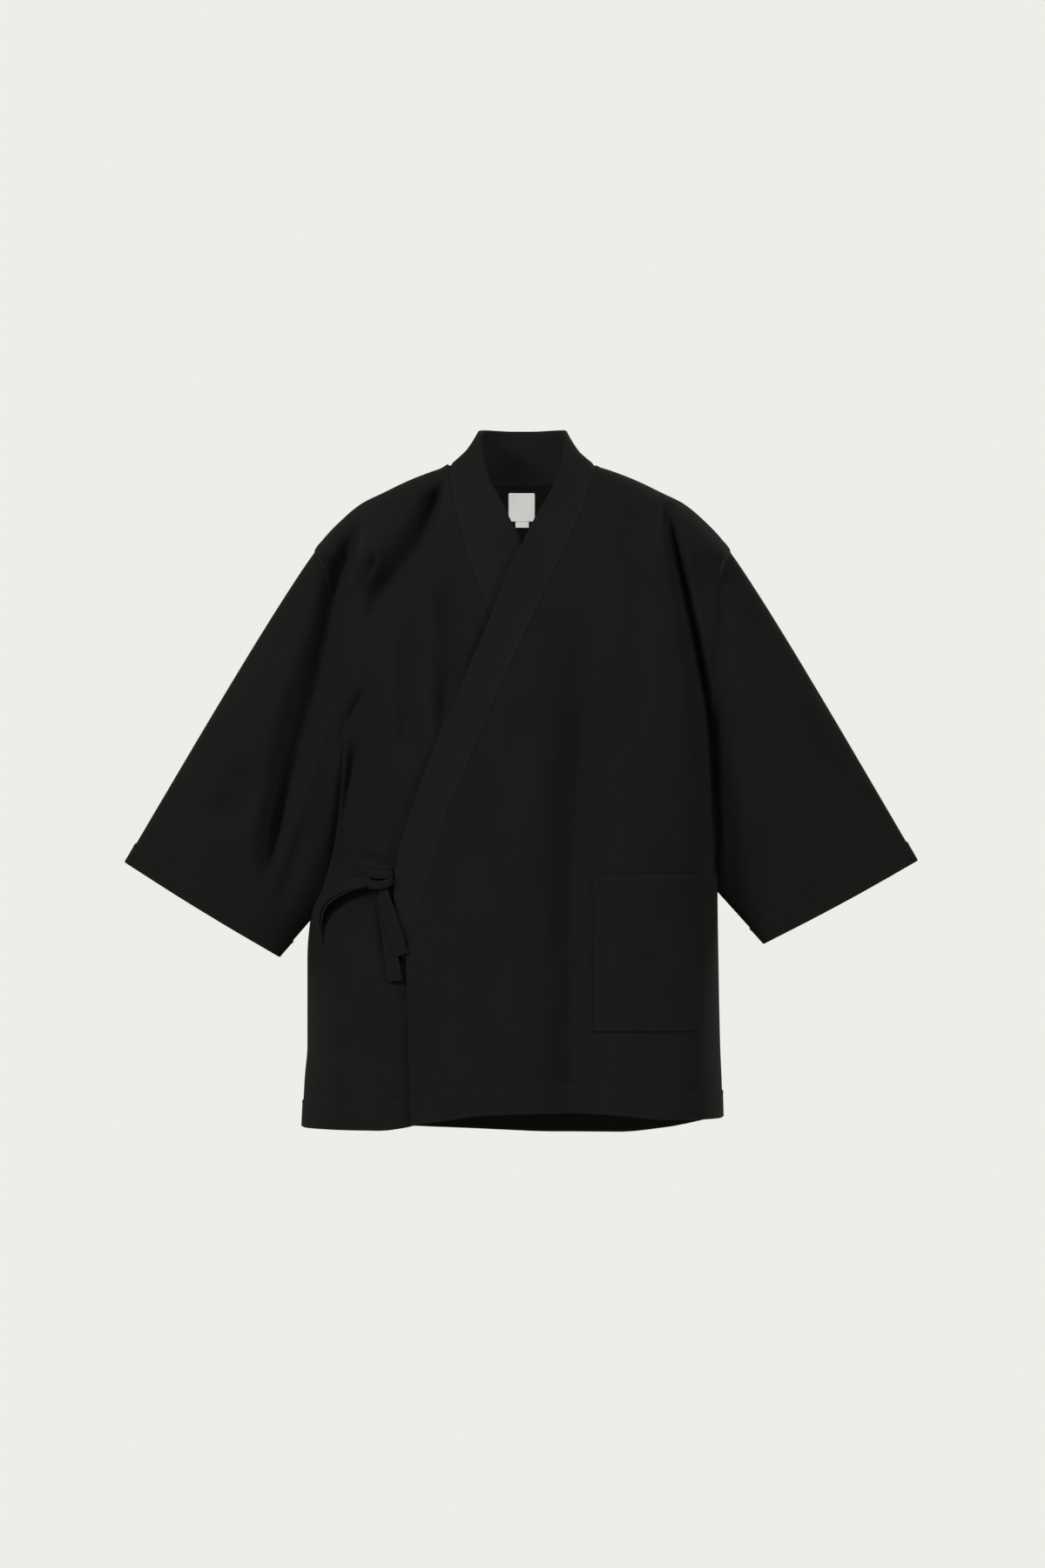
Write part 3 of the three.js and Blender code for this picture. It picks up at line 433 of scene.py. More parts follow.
class WornShape:
    """The outside of the worn jacket as a distance in front of or behind the shoulder line's plane."""

    def __init__(self) -> None:
        """Sets up the curves once."""
        self.crown = {Face.FRONT: Curve(FRONT_DEPTH), Face.BACK: Curve(BACK_DEPTH)}
        self.folds = {Face.FRONT: FRONT_FOLDS, Face.BACK: BACK_FOLDS}
        self.armhole = Curve(ARMHOLE_DEPTH)
        self.turn = Curve(SIDE_TURN)
        self.reach = {side.sign: Curve(side.outline) for side in (LEFT, RIGHT)}
        self.ripple = {Face.FRONT: Ripple(3, 0.32, 26, 120), Face.BACK: Ripple(8, 0.38, 26, 120)}
        self.cover = Curve(COVER)

    def underarm(self, x: Array) -> Array:
        """Height of the underarm on the side where x lies."""
        return np.where(x < 0, RIGHT.underarm, LEFT.underarm)

    def half_width(self, x: Array, z: Array) -> Array:
        """Half width at a height, on the side where x lies."""
        return np.where(x < 0, self.reach[-1](z), self.reach[1](z))

    def seam_depth(self, underarm: Number, z: Array) -> Array:
        """Half depth of the armhole seam at a height; nothing above and below the armhole."""
        share = np.clip((ARMHOLE_TOP - z) / (ARMHOLE_TOP - underarm), 0, 1)
        return 2 * np.sqrt(share * (1 - share)) * self.armhole(share)

    def armhole_spread(self, underarm: Number, z: Array) -> Array:
        """How far the armhole holds the cloth beside it open, easing in at its top and at the underarm."""
        share = np.clip((ARMHOLE_TOP - z) / (ARMHOLE_TOP - underarm), 0, 1)
        return (4 * share * (1 - share)) ** 2 * self.armhole(share)

    def slit_depth(self, z: Array) -> Array:
        """Half the gap between front and back at the side slit."""
        return np.where(z < SLIT_TOP, SLIT_OPENING * (SLIT_TOP - z) / SLIT_LENGTH, 0.0)

    def plain_depth(self, face: Face, x: Array, z: Array) -> Array:
        """Distance of the cloth from the shoulder line's plane, before its folds."""
        share = np.minimum(np.abs(x) / self.half_width(x, z), 1)
        arm = self.underarm(x)
        end = mix(self.armhole_spread(arm, z), self.seam_depth(arm, z),
                  share**SEAM_POWER) + self.slit_depth(z)
        crown = self.crown[face](z)
        return end + (crown - end) * (1 - share**WIDTH_POWER) ** (1 / self.turn(z))

    def folded(self, face: Face, x: Array, depth: Array, z: Array) -> Array:
        """Points of the outside, given the distance before the folds.

        Args:
            face: front or back.
            x: places across.
            depth: distance from the shoulder line's plane before the folds.
            z: heights.

        Returns:
            An array one dimension larger, of x, y and z.
        """
        sink = sum(fold.sink(x, z) for fold in self.folds[face]) - self.ripple[face](x, z)
        room = np.clip(depth / FOLD_ROOT_DEPTH, 0, 1)
        deepest = np.maximum(depth - LEAST_DEPTH, 0)
        sunk = np.minimum(sink * room, deepest)
        return np.stack([x, face.value * (depth - sunk), z], axis=-1)

    def point(self, face: Face, x: Number, z: Number) -> Array:
        """Points of the outside of the body at places of the front view."""
        x, z = np.broadcast_arrays(np.asarray(x, float), np.asarray(z, float))
        return self.folded(face, x, self.plain_depth(face, x, z), z)

    def inner_point(self, x: Number, z: Number) -> Array:
        """Points of the inner front, which drops under the outer front just before that one covers it."""
        x, z = np.broadcast_arrays(np.asarray(x, float), np.asarray(z, float))
        place = self.point(Face.FRONT, x, z)
        place[..., 1] += LAYER_DROP * smoothstep(x - self.cover(z), *COVER_EASE)
        return place

    def front_normal(self, x: Number, z: Number, reach: float = 4.0) -> Array:
        """Which way the front's cloth faces, over a few millimetres round each place."""
        across = self.point(Face.FRONT, np.add(x, reach),
                            z) - self.point(Face.FRONT, np.subtract(x, reach), z)
        up = self.point(Face.FRONT, x, np.add(z, reach)) - self.point(Face.FRONT, x, np.subtract(z, reach))
        normal = np.cross(across, up)
        return normal / np.linalg.norm(normal, axis=-1, keepdims=True)

    def lifted(self, x: Number, z: Number, lift: Number) -> Array:
        """Points moved out from the front along the cloth's own normal."""
        return self.point(Face.FRONT, x, z) + self.front_normal(x, z) * np.asarray(lift)[..., None]


@dataclass(frozen=True)
class Edge:
    """How one edge of a panel is finished.

    dip sinks the cloth towards a seam over dip_width; ridge raises it just beside, and the cloth there is
    painted paler: real rubbing at plain seams, a painted highlight along the collar's seam ridge.
    hem is the depth of a turned hem, and groove says how far its row of stitches sinks.
    """

    dip: float = 0.0
    dip_width: float = 2.6
    hem: float = 0.0
    groove: float = 0.0
    ridge: float = 0.0
    rubbed_and_highlight: float = 0.12


SEAM = Edge(dip=0.9)
PLAIN = Edge()
HEM = Edge(hem=HEM_DEPTH, groove=0.45)
CUFF_HEM = Edge(hem=CUFF_HEM_DEPTH, groove=0.45)


def distances(grid: Array, axis: int) -> Array:
    """Distance travelled along each row or column of a grid of points, from its first."""
    steps = np.linalg.norm(np.diff(grid, axis=axis), axis=-1)
    start = np.zeros_like(np.take(steps, [0], axis=axis))
    return np.concatenate([start, np.cumsum(steps, axis=axis)], axis=axis)


def grid_normals(grid: Array, flip: bool, wrapped: bool) -> Array:
    """Normals of a grid of points, whose rows close on themselves if wrapped."""
    if wrapped:
        along = np.roll(grid, -1, axis=1) - np.roll(grid, 1, axis=1)
    else:
        along = np.gradient(grid, axis=1)
    down = np.gradient(grid, axis=0)
    normal = np.cross(along, down)
    length = np.linalg.norm(normal, axis=-1, keepdims=True)
    normal = normal / np.maximum(length, 1e-9)
    return normal if flip else -normal


@dataclass
class ClothWall:
    """A panel of cloth as a closed wall with its own seams, hems, UV map and paleness: real rubbing at its
    edges, and painted highlight where it is set for the whole wall.

    The grid holds the outside of the cloth in millimetres; rows run from head to foot.
    """

    name: str
    grid: Array
    flip: bool
    thickness: float = CLOTH
    wrapped: bool = False
    head: Edge = PLAIN
    foot: Edge = PLAIN
    first: Edge = PLAIN
    last: Edge = PLAIN
    step: float = 0.0
    painted_highlight: float = 0.0

    RIDGE_PLACE = 3.2
    RIDGE_WIDTH = 1.7
    HEM_RISE = 0.12
    STITCH_PLACE = 2.0
    STITCH_WIDTH = 1.6
    RUBBED_AND_HIGHLIGHT_PLACE = 3.5
    RUBBED_AND_HIGHLIGHT_WIDTH = 2.2
    ROUNDING = 0.7

    def edge_distances(self) -> list[tuple[Edge, Array]]:
        """Each edge with the distance of every point from it."""
        down = distances(self.grid, 0)
        found = [(self.head, down), (self.foot, down[-1:] - down)]
        if not self.wrapped:
            along = distances(self.grid, 1)
            found += [(self.first, along), (self.last, along[:, -1:] - along)]
        return found

    def dressed(self) -> tuple[Array, Array, Array]:
        """The wall's outer and inner points and how much paler each point is painted, after seams and hems
        have shaped it; the paleness is real rubbing at edges and seams plus any painted highlight.
        """
        normals = grid_normals(self.grid, self.flip, self.wrapped)
        rise = np.full(self.grid.shape[:2], self.step, float)
        thick = np.full(self.grid.shape[:2], self.thickness, float)
        # Painted highlight: a wall's own base share paints all its cloth paler; the collar band uses it for
        # the light that band catches.
        wear_and_highlight = np.full(self.grid.shape[:2], self.painted_highlight, float)
        for edge, away in self.edge_distances():
            if edge.dip:
                rise -= edge.dip * np.exp(-((away / edge.dip_width) ** 2))
            if edge.ridge:
                rise += edge.ridge * np.exp(-(((away - self.RIDGE_PLACE) / self.RIDGE_WIDTH) ** 2))
            if edge.hem:
                inside = 1 - smoothstep(away, edge.hem - 1.2, edge.hem + 0.6)
                thick += (HEM_CLOTH - self.thickness) * inside
                rise += self.HEM_RISE * inside
                row = away - edge.hem + self.STITCH_PLACE
                rise -= edge.groove * np.exp(-((row / self.STITCH_WIDTH) ** 2))
                wear_and_highlight += 0.6 * np.exp(-((away / 3.0) ** 2)) + 0.2 * np.exp(-(((away - edge.hem) / 2.5) ** 2))
            # Beside each seam the cloth is painted paler: real rubbing at plain seams, and a painted
            # highlight along the collar's seam ridge.
            if edge.dip:
                wear_and_highlight += edge.rubbed_and_highlight * np.exp(-(((away - self.RUBBED_AND_HIGHLIGHT_PLACE) / self.RUBBED_AND_HIGHLIGHT_WIDTH) ** 2))
        outer = self.grid + normals * rise[..., None]
        inner = self.grid + normals * (rise - thick)[..., None]
        return outer, inner, np.clip(wear_and_highlight, 0, 1)

    def uv(self) -> Array:
        """Flat places of the cloth in metres: across the grain and along it."""
        along = distances(self.grid, 1)
        across = along if self.wrapped else along - along[:, -1:]
        down = distances(self.grid, 0)
        return np.stack([across, down - down[-1:]], axis=-1) * MM

    def build(self) -> bpy.types.Object:
        """Makes the mesh object."""
        outer, inner, wear_and_highlight = self.dressed()
        rows, columns = wear_and_highlight.shape
        count = rows * columns
        number = np.arange(count).reshape(rows, columns)
        right = np.roll(number, -1, axis=1) if self.wrapped else number[:, 1:]
        left = number if self.wrapped else number[:, :-1]
        faces = np.stack([left[:-1], right[:-1], right[1:], left[1:]], axis=-1).reshape(-1, 4)
        quads = [faces[:, ::-1], faces + count] if not self.flip else [faces, faces[:, ::-1] + count]
        points = [outer.reshape(-1, 3), inner.reshape(-1, 3)]
        uv = np.tile(self.uv().reshape(-1, 2), (2, 1))
        paleness = np.tile(wear_and_highlight.reshape(-1), 2)
        if self.wrapped:
            loops = [(number[0], grid_out(self.grid, 0, 0)),
                     (number[-1][::-1], grid_out(self.grid, 0, -1)[::-1])]
        else:
            border = np.concatenate([number[0], number[1:, -1], number[-1, -2::-1], number[-2:0:-1, 0]])
            out = np.concatenate([grid_out(self.grid, 0, 0), grid_out(self.grid, 1, -1)[1:],
                                  grid_out(self.grid, 0, -1)[-2::-1], grid_out(self.grid, 1, 0)[-2:0:-1]])
            loops = [(border, out)]
        extra = 2 * count
        for loop, out in loops:
            middle = (points[0][loop] + points[1][loop]) / 2
            half = np.linalg.norm(points[0][loop] - points[1][loop], axis=1)[:, None] / 2
            points.append(middle + out * half * self.ROUNDING)
            uv = np.vstack([uv, uv[loop]])
            paleness = np.concatenate([paleness, paleness[loop]])
            ring = extra + np.arange(len(loop))
            extra += len(loop)
            following, next_ring = np.roll(loop, -1), np.roll(ring, -1)
            side_a = np.stack([loop, following, next_ring, ring], axis=-1)
            side_b = np.stack([ring, next_ring, following + count, loop + count], axis=-1)
            for side in (side_a, side_b):
                quads.append(side if not self.flip else side[:, ::-1])
        return mesh_object(self.name, np.vstack(points), np.vstack(quads), uv, paleness)


def grid_out(grid: Array, axis: int, end: int) -> Array:
    """The way out of a grid over one of its edges, for each point of that edge.

    Args:
        grid: the points.
        axis: 0 for the head or foot, 1 for the first or last column.
        end: 0 for the head or first, -1 for the foot or last.

    Returns:
        Unit vectors that lie in the cloth and point away from it.
    """
    edge, before = (0, 1) if end == 0 else (-1, -2)
    way = np.take(grid, edge, axis=axis) - np.take(grid, before, axis=axis)
    return way / np.maximum(np.linalg.norm(way, axis=-1, keepdims=True), 1e-9)


def mesh_object(
    name: str, points: Array, faces: Sequence[Sequence[int]], uv: Optional[Array] = None,
    wear_and_highlight: Optional[Array] = None
) -> bpy.types.Object:
    """A mesh object at the origin.

    Args:
        name: the piece's name.
        points: places in millimetres.
        faces: the points of each face.
        uv: a flat place in metres for each point.
        wear_and_highlight: how much paler each point is painted, from 0 to 1: real rubbing, and painted
            highlight on the collar.

    Returns:
        The linked object.
    """
    mesh = bpy.data.meshes.new(name)
    mesh.from_pydata((np.asarray(points) * MM).tolist(), [], [list(map(int, face)) for face in faces])
    mesh.update()
    if uv is not None:
        corner = np.empty(len(mesh.loops), np.int32)
        mesh.loops.foreach_get("vertex_index", corner)
        layer = mesh.uv_layers.new(name="cloth")
        layer.data.foreach_set("uv", uv[corner].astype(np.float32).ravel())
    if wear_and_highlight is not None:
        layer = mesh.attributes.new("wear_and_highlight", "FLOAT", "POINT")
        layer.data.foreach_set("value", wear_and_highlight.astype(np.float32))
    mesh.shade_smooth()
    mesh.set_sharp_from_angle(angle=math.radians(62))
    piece = bpy.data.objects.new(name, mesh)
    bpy.context.scene.collection.objects.link(piece)
    return piece


def joined(parts: Sequence[bpy.types.Object], name: str) -> bpy.types.Object:
    """Several objects made into one of that name."""
    bpy.ops.object.select_all(action="DESELECT")
    for part in parts:
        part.select_set(True)
    bpy.context.view_layer.objects.active = parts[0]
    bpy.ops.object.join()
    parts[0].name = name
    return parts[0]


class Socket:
    """A shader value that can be used in sums."""

    def __init__(self, tree: "Tree", socket: bpy.types.NodeSocket) -> None:
        """Args:
            tree: the tree that the value belongs to.
            socket: the output that carries it.
        """
        self.tree, self.socket = tree, socket

    def __add__(self, other: "Term") -> "Socket":
        """The sum."""
        return self.tree.maths("ADD", self, other)

    __radd__ = __add__

    def __mul__(self, other: "Term") -> "Socket":
        """The product."""
        return self.tree.maths("MULTIPLY", self, other)

    __rmul__ = __mul__

    def __sub__(self, other: "Term") -> "Socket":
        """The difference."""
        return self.tree.maths("SUBTRACT", self, other)

    def __rsub__(self, other: "Term") -> "Socket":
        """The difference, turned round."""
        return self.tree.maths("SUBTRACT", other, self)


Term = Union[Socket, float]


class Tree:
    """A node tree that is built from calls."""

    def __init__(self, tree: bpy.types.NodeTree) -> None:
        """Empties a node tree and keeps it."""
        self.tree = tree
        self.tree.nodes.clear()

    def node(self, kind: str, settings: Optional[dict] = None, **inputs: object) -> bpy.types.Node:
        """Adds a node.

        Args:
            kind: the node's type.
            settings: properties, set before the sockets.
            **inputs: a value or Socket for each input, with _ for a space in its name, or i0, i1.

        Returns:
            The node.
        """
        made = self.tree.nodes.new(kind)
        for key, value in (settings or {}).items():
            setattr(made, key, value)
        for key, value in inputs.items():
            numbered = key[0] == "i" and key[1:].isdigit()
            target = made.inputs[int(key[1:])] if numbered else made.inputs[key.replace("_", " ")]
            if isinstance(value, Socket):
                self.tree.links.new(value.socket, target)
            elif isinstance(value, bpy.types.NodeSocket):
                self.tree.links.new(value, target)
            else:
                target.default_value = value
        return made

    def out(self, node: bpy.types.Node, name: Union[str, int] = 0) -> Socket:
        """One of a node's outputs as a value."""
        return Socket(self, node.outputs[name])

    def maths(self, operation: str, a: Term, b: Term) -> Socket:
        """A Math node on two values."""
        return self.out(self.node("ShaderNodeMath", {"operation": operation}, i0=a, i1=b))

    def noise(self, place: Socket, scale: float, detail: float = 2.0, roughness: float = 0.5) -> Socket:
        """Smooth noise from 0 to 1 at a place."""
        made = self.node(
            "ShaderNodeTexNoise", {"noise_dimensions": "3D"}, Vector=place, Scale=scale, Detail=detail,
            Roughness=roughness,
        )
        return self.out(made, "Fac")

    def stretch(self, place: Socket, scale: tuple[float, float, float]) -> Socket:
        """A place scaled on each axis."""
        made = self.node("ShaderNodeVectorMath", {"operation": "MULTIPLY"}, i0=place, i1=scale)
        return self.out(made)

    def sine(self, value: Socket) -> Socket:
        """The sine of a value."""
        return self.out(self.node("ShaderNodeMath", {"operation": "SINE"}, i0=value))

    def cloth_place(self) -> Socket:
        """The flat place on the piece's own cloth, in metres."""
        return self.out(self.node("ShaderNodeUVMap", {"uv_map": "cloth"}), "UV")

    def shade(self, colour: object, tone: Socket) -> Socket:
        """A colour made lighter or darker."""
        return self.out(self.node("ShaderNodeVectorMath", {"operation": "SCALE"}, i0=colour, Scale=tone))

    def bump(self, strength: float, distance: float, height: Socket) -> Socket:
        """The way a surface faces once its fine relief is counted."""
        return self.out(self.node("ShaderNodeBump", None, Strength=strength, Distance=distance,
                                  Height=height))

    def surface(self, **inputs: object) -> None:
        """Ends a material in one shader with these inputs."""
        shader = self.node("ShaderNodeBsdfPrincipled", None, **inputs)
        self.node("ShaderNodeOutputMaterial", None, Surface=self.out(shader))


def new_material(name: str) -> tuple[bpy.types.Material, Tree]:
    """A material and its emptied tree."""
    made = bpy.data.materials.new(name)
    made.use_nodes = True
    return made, Tree(made.node_tree)


@dataclass(frozen=True)
class Cotton:
    """Black plain-woven cotton with uneven yarns, slightly paler where it rubs at edges, hems and seams, and
    painted paler on the collar band and along its seam ridge as a painted highlight.
    """

    name: str = "black_cotton"
    colour: tuple[float, float, float] = (0.0066, 0.0067, 0.0062)
    # The paler colour is used for real rubbing at edges, hems and seams, and for painted highlight on the
    # collar band and its seam ridge.
    worn_and_lit_colour: tuple[float, float, float] = (0.0098, 0.0099, 0.0092)
    yarn_mm: float = 0.62
    bump_mm: float = 0.12
    specular: float = 0.015
    sheen: float = 0.008

    def material(self) -> bpy.types.Material:
        """The cloth's material."""
        made, tree = new_material(self.name)
        flat = tree.cloth_place()
        warp = tree.noise(tree.stretch(flat, (900.0, 26.0, 1.0)), 1.0, 3.0, 0.6)
        weft = tree.noise(tree.stretch(flat, (26.0, 900.0, 1.0)), 1.0, 3.0, 0.6)
        cloud = tree.noise(tree.stretch(flat, (18.0, 9.0, 1.0)), 1.0, 3.0, 0.55)
        turns = 1000.0 / self.yarn_mm
        split = tree.node("ShaderNodeSeparateXYZ", None, Vector=flat)
        over, under = (tree.sine(tree.out(split, axis) * (math.pi * turns)) for axis in (0, 1))
        weave = over * under
        paleness = tree.out(tree.node("ShaderNodeAttribute", {"attribute_name": "wear_and_highlight"}), "Fac")
        yarns = warp * 0.6 + weft * 0.4
        tone = 0.62 + yarns * 0.48 + cloud * 0.28 + weave * 0.05
        # Paler by the point attribute: real rubbing at edges, hems and seams, and painted highlight on the
        # collar.
        rubbed_and_highlight = tree.node(
            "ShaderNodeMix", {"data_type": "RGBA", "clamp_factor": True}, i0=paleness * (warp + 0.1) * 0.75,
            i6=(*self.colour, 1.0), i7=(*self.worn_and_lit_colour, 1.0),
        )
        height = yarns * 0.75 + weave * 0.25
        tree.surface(
            Base_Color=tree.shade(tree.out(rubbed_and_highlight, 2), tone), Roughness=0.95 - cloud * 0.1,
            Normal=tree.bump(0.5, self.bump_mm * MM, height), Specular_IOR_Level=self.specular,
            Sheen_Weight=self.sheen, Sheen_Roughness=0.6,
        )
        return made


@dataclass(frozen=True)
class Thread:
    """Black sewing thread, a little glossier than the cloth."""

    name: str = "black_thread"
    colour: tuple[float, float, float] = (0.0075, 0.0075, 0.0072)
    twists_per_m: float = 1400.0

    def material(self) -> bpy.types.Material:
        """The thread's material."""
        made, tree = new_material(self.name)
        place = tree.out(tree.node("ShaderNodeTexCoord"), "Object")
        twist = tree.noise(place, self.twists_per_m, 2.0)
        tree.surface(Base_Color=tree.shade(self.colour, 0.7 + twist * 0.6), Roughness=0.55 + twist * 0.2,
                     Specular_IOR_Level=0.03)
        return made


@dataclass(frozen=True)
class Tape:
    """Smooth white woven tape, as labels are made of."""

    name: str = "white_tape"
    colour: tuple[float, float, float] = (0.83, 0.83, 0.81)
    rib_mm: float = 0.45

    def material(self) -> bpy.types.Material:
        """The tape's material."""
        made, tree = new_material(self.name)
        flat = tree.cloth_place()
        split = tree.node("ShaderNodeSeparateXYZ", None, Vector=flat)
        rib = tree.sine(tree.out(split, 1) * (2000.0 * math.pi / self.rib_mm))
        fleck = tree.noise(tree.stretch(flat, (1600.0, 500.0, 1.0)), 1.0, 2.0)
        tree.surface(
            Base_Color=tree.shade(self.colour, 0.94 + rib * 0.015 + fleck * 0.09),
            Roughness=0.6 + fleck * 0.1,
            Normal=tree.bump(0.4, 0.05 * MM, rib * 0.5 + fleck), Specular_IOR_Level=0.3,
        )
        return made


@dataclass(frozen=True)
class Finishes:
    """The materials that the pieces share."""

    cotton: bpy.types.Material
    thread: bpy.types.Material
    tape: bpy.types.Material


@dataclass(frozen=True)
class Cut:
    """A piece's flat size before it was sewn, in metres, logged beside the piece's cloth area."""

    width: float
    length: float
    area: Optional[float] = None


def finish_piece(
    piece: bpy.types.Object, material: bpy.types.Material, nodes: Sequence[str] = (),
    cut: Optional[Cut] = None,
) -> bpy.types.Object:
    """Dresses a piece, hangs it on the body, hides the solids that it stands for and logs its size.

    Args:
        piece: the object.
        material: its finish.
        nodes: the solids that it stands for.
        cut: its flat size, if it is a sheet of cloth.

    Returns:
        The piece.
    """
    piece.data.materials.append(material)
    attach(piece, BODY)
    if nodes:
        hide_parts(*nodes)
    if cut:
        area = half_surface(piece)
        log.info("%s: %d faces, cloth %.4f m2, cut %.4f m2", piece.name, len(piece.data.polygons), area,
                 cut.area or cut.width * cut.length)
    else:
        log.info("%s: %d faces", piece.name, len(piece.data.polygons))
    return piece


def half_surface(piece: bpy.types.Object) -> float:
    """Half of a closed wall's surface, which is the area of its cloth, in square metres."""
    areas = np.empty(len(piece.data.polygons))
    piece.data.polygons.foreach_get("area", areas)
    return float(areas.sum() / 2)


@dataclass
class Grain:
    """How finely the panels are divided."""

    armhole_rows: int = 104
    skirt_rows: int = 40
    hem_rows: int = 26
    hem_zone: float = 44.0
    front_columns: int = 124
    back_neck_columns: int = 26
    back_columns: int = 66
    sleeve_rows: int = 112
    sleeve_steps: int = 60

    def heights(self, side: Side, top: Array, hem: Array) -> Array:
        """Heights of every row for columns that start at top and end at hem."""
        above = mix(top[None, :], side.underarm, crowded_shares(self.armhole_rows)[:, None])
        low = hem + self.hem_zone
        skirt = mix(side.underarm, low[None, :], np.linspace(0, 1, self.skirt_rows + 1)[1:, None])
        ending = mix(low[None, :], hem[None, :], np.linspace(0, 1, self.hem_rows + 1)[1:, None])
        return np.vstack([above, skirt, ending])


@dataclass
class Panel:
    """What the fronts, the backs and the sleeves share."""

    name: str
    node: str
    side: Side
    flip: bool
    cut: Cut
    grain: Grain
    shape: WornShape

    def column_heights(self, top: float, hem: Array) -> Array:
        """Heights of the rows down one column."""
        return self.grain.heights(self.side, np.full(1, top), hem.reshape(1))[:, 0]

    def row_heights(self, x: Array, top: Array, hem: Curve) -> Array:
        """Heights of every point of a grid, row by row, from where its columns start."""
        starts = np.broadcast_to(top, x.shape)
        return np.stack([self.grain.heights(self.side, starts[k], hem(x[k]))[k] for k in range(len(x))])

    def finish(self, wall: ClothWall, finishes: Finishes,
               rests_on: Sequence[str] = ("collar_band",)) -> ClothWall:
        """Makes the wall's mesh, dresses it and gives the wall back."""
        finish_piece(wall.build(), finishes.cotton, [self.node], self.cut)
        return wall


@dataclass
class FrontPanel(Panel):
    """A front, from its collar seam to the side seam. The mesh is finer round the folds that crowd names."""

    seam: Rows
    hem: Rows
    inner: bool
    crowd: tuple[str, ...]

    SIDE_CROWDING = 1.6
    SIDE_STARTS = 0.72
    FOLD_CROWDING = 2.6
    FOLD_REACH = 2.2

    def columns(self, edge_x: Array, side_x: Array, z: Array) -> Array:
        """Shares of the width for every row, closer together towards the side and round the sharp folds."""
        fine = np.linspace(0, 1, 500)
        x = mix(edge_x[:, None], side_x[:, None], fine[None, :])
        density = 1 + self.SIDE_CROWDING * smoothstep(fine, self.SIDE_STARTS, 1.0)[None, :] + np.zeros_like(x)
        for fold in FRONT_FOLDS:
            if fold.name in self.crowd:
                line = fold.trace()
                centre = np.interp(-z, -line[:, 1], line[:, 0])[:, None]
                fade = smoothstep(z, line[-1, 1] - 70, line[-1, 1] - 5)
                fade = fade * (1 - smoothstep(z, line[0, 1] + 5, line[0, 1] + 60))
                near = np.exp(-(((x - centre) / (self.FOLD_REACH * fold.width)) ** 2))
                density += self.FOLD_CROWDING * near * fade[:, None]
        total = np.cumsum(density, axis=1)
        total = (total - total[:, :1]) / (total[:, -1:] - total[:, :1])
        even = np.linspace(0, 1, self.grain.front_columns + 1)
        return np.stack([np.interp(even, row, fine) for row in total])

    def grid(self) -> Array:
        """Points of the outside of the front."""
        seam, hem, side = Curve(self.seam), Curve(self.hem), self.side
        edge_z = self.column_heights(0.0, hem(seam(SEAM_FOOT)))
        side_z = self.column_heights(ARMHOLE_TOP, hem(side.sign * SIDE_PLACE))
        edge_x = seam(edge_z)
        side_x = side.sign * side.reach(side_z)
        share = self.columns(edge_x, side_x, (edge_z + side_z) / 2)
        x = mix(edge_x[:, None], side_x[:, None], share)
        top_x = mix(side.reach(0.0), side.reach(ARMHOLE_TOP), share)
        z = self.row_heights(x, side.shoulder_height(top_x), hem)
        return self.shape.inner_point(x, z) if self.inner else self.shape.point(Face.FRONT, x, z)

    def build(self, finishes: Finishes) -> ClothWall:
        """Makes the front and gives back its wall."""
        beside_collar = Edge(dip=2.4, dip_width=7.0) if self.inner else Edge(dip=1.0, dip_width=3.0)
        wall = ClothWall(self.name, self.grid(), self.flip, head=SEAM, foot=HEM, first=beside_collar,
                         last=SEAM)
        return self.finish(wall, finishes)


@dataclass
class BackPanel(Panel):
    """Half of the back, from its centre seam to the side; its head follows the neck, then the shoulder."""

    NECK = ((0, NECK_DROP), (22, -19.3), (45, -16.5), (66, -10.5), (79, -4), (NECK_HALF, 0))

    def grid(self) -> Array:
        """Points of the outside of the half back."""
        side, grain = self.side, self.grain
        reach = float(side.reach(ARMHOLE_TOP))
        neck_share = NECK_HALF / reach
        beyond = 1 - (1 - np.linspace(0, 1, grain.back_columns + 1)[1:]) ** 1.35
        share = np.concatenate([np.linspace(0, neck_share, grain.back_neck_columns + 1),
                                mix(neck_share, 1.0, beyond)])
        top_x = share * reach
        top = np.where(top_x < NECK_HALF, Curve(self.NECK)(top_x), side.shoulder_height(top_x))
        hem = Curve(BACK_HEM)
        side_z = self.column_heights(ARMHOLE_TOP, hem(side.sign * SIDE_PLACE))
        x = side.sign * side.reach(side_z)[:, None] * share[None, :]
        return self.shape.point(Face.BACK, x, self.row_heights(x, top, hem))

    def build(self, finishes: Finishes) -> ClothWall:
        """Makes the half back and gives back its wall."""
        wall = ClothWall(self.name, self.grid(), self.flip, head=SEAM, foot=HEM, first=SEAM, last=SEAM)
        return self.finish(wall, finishes)


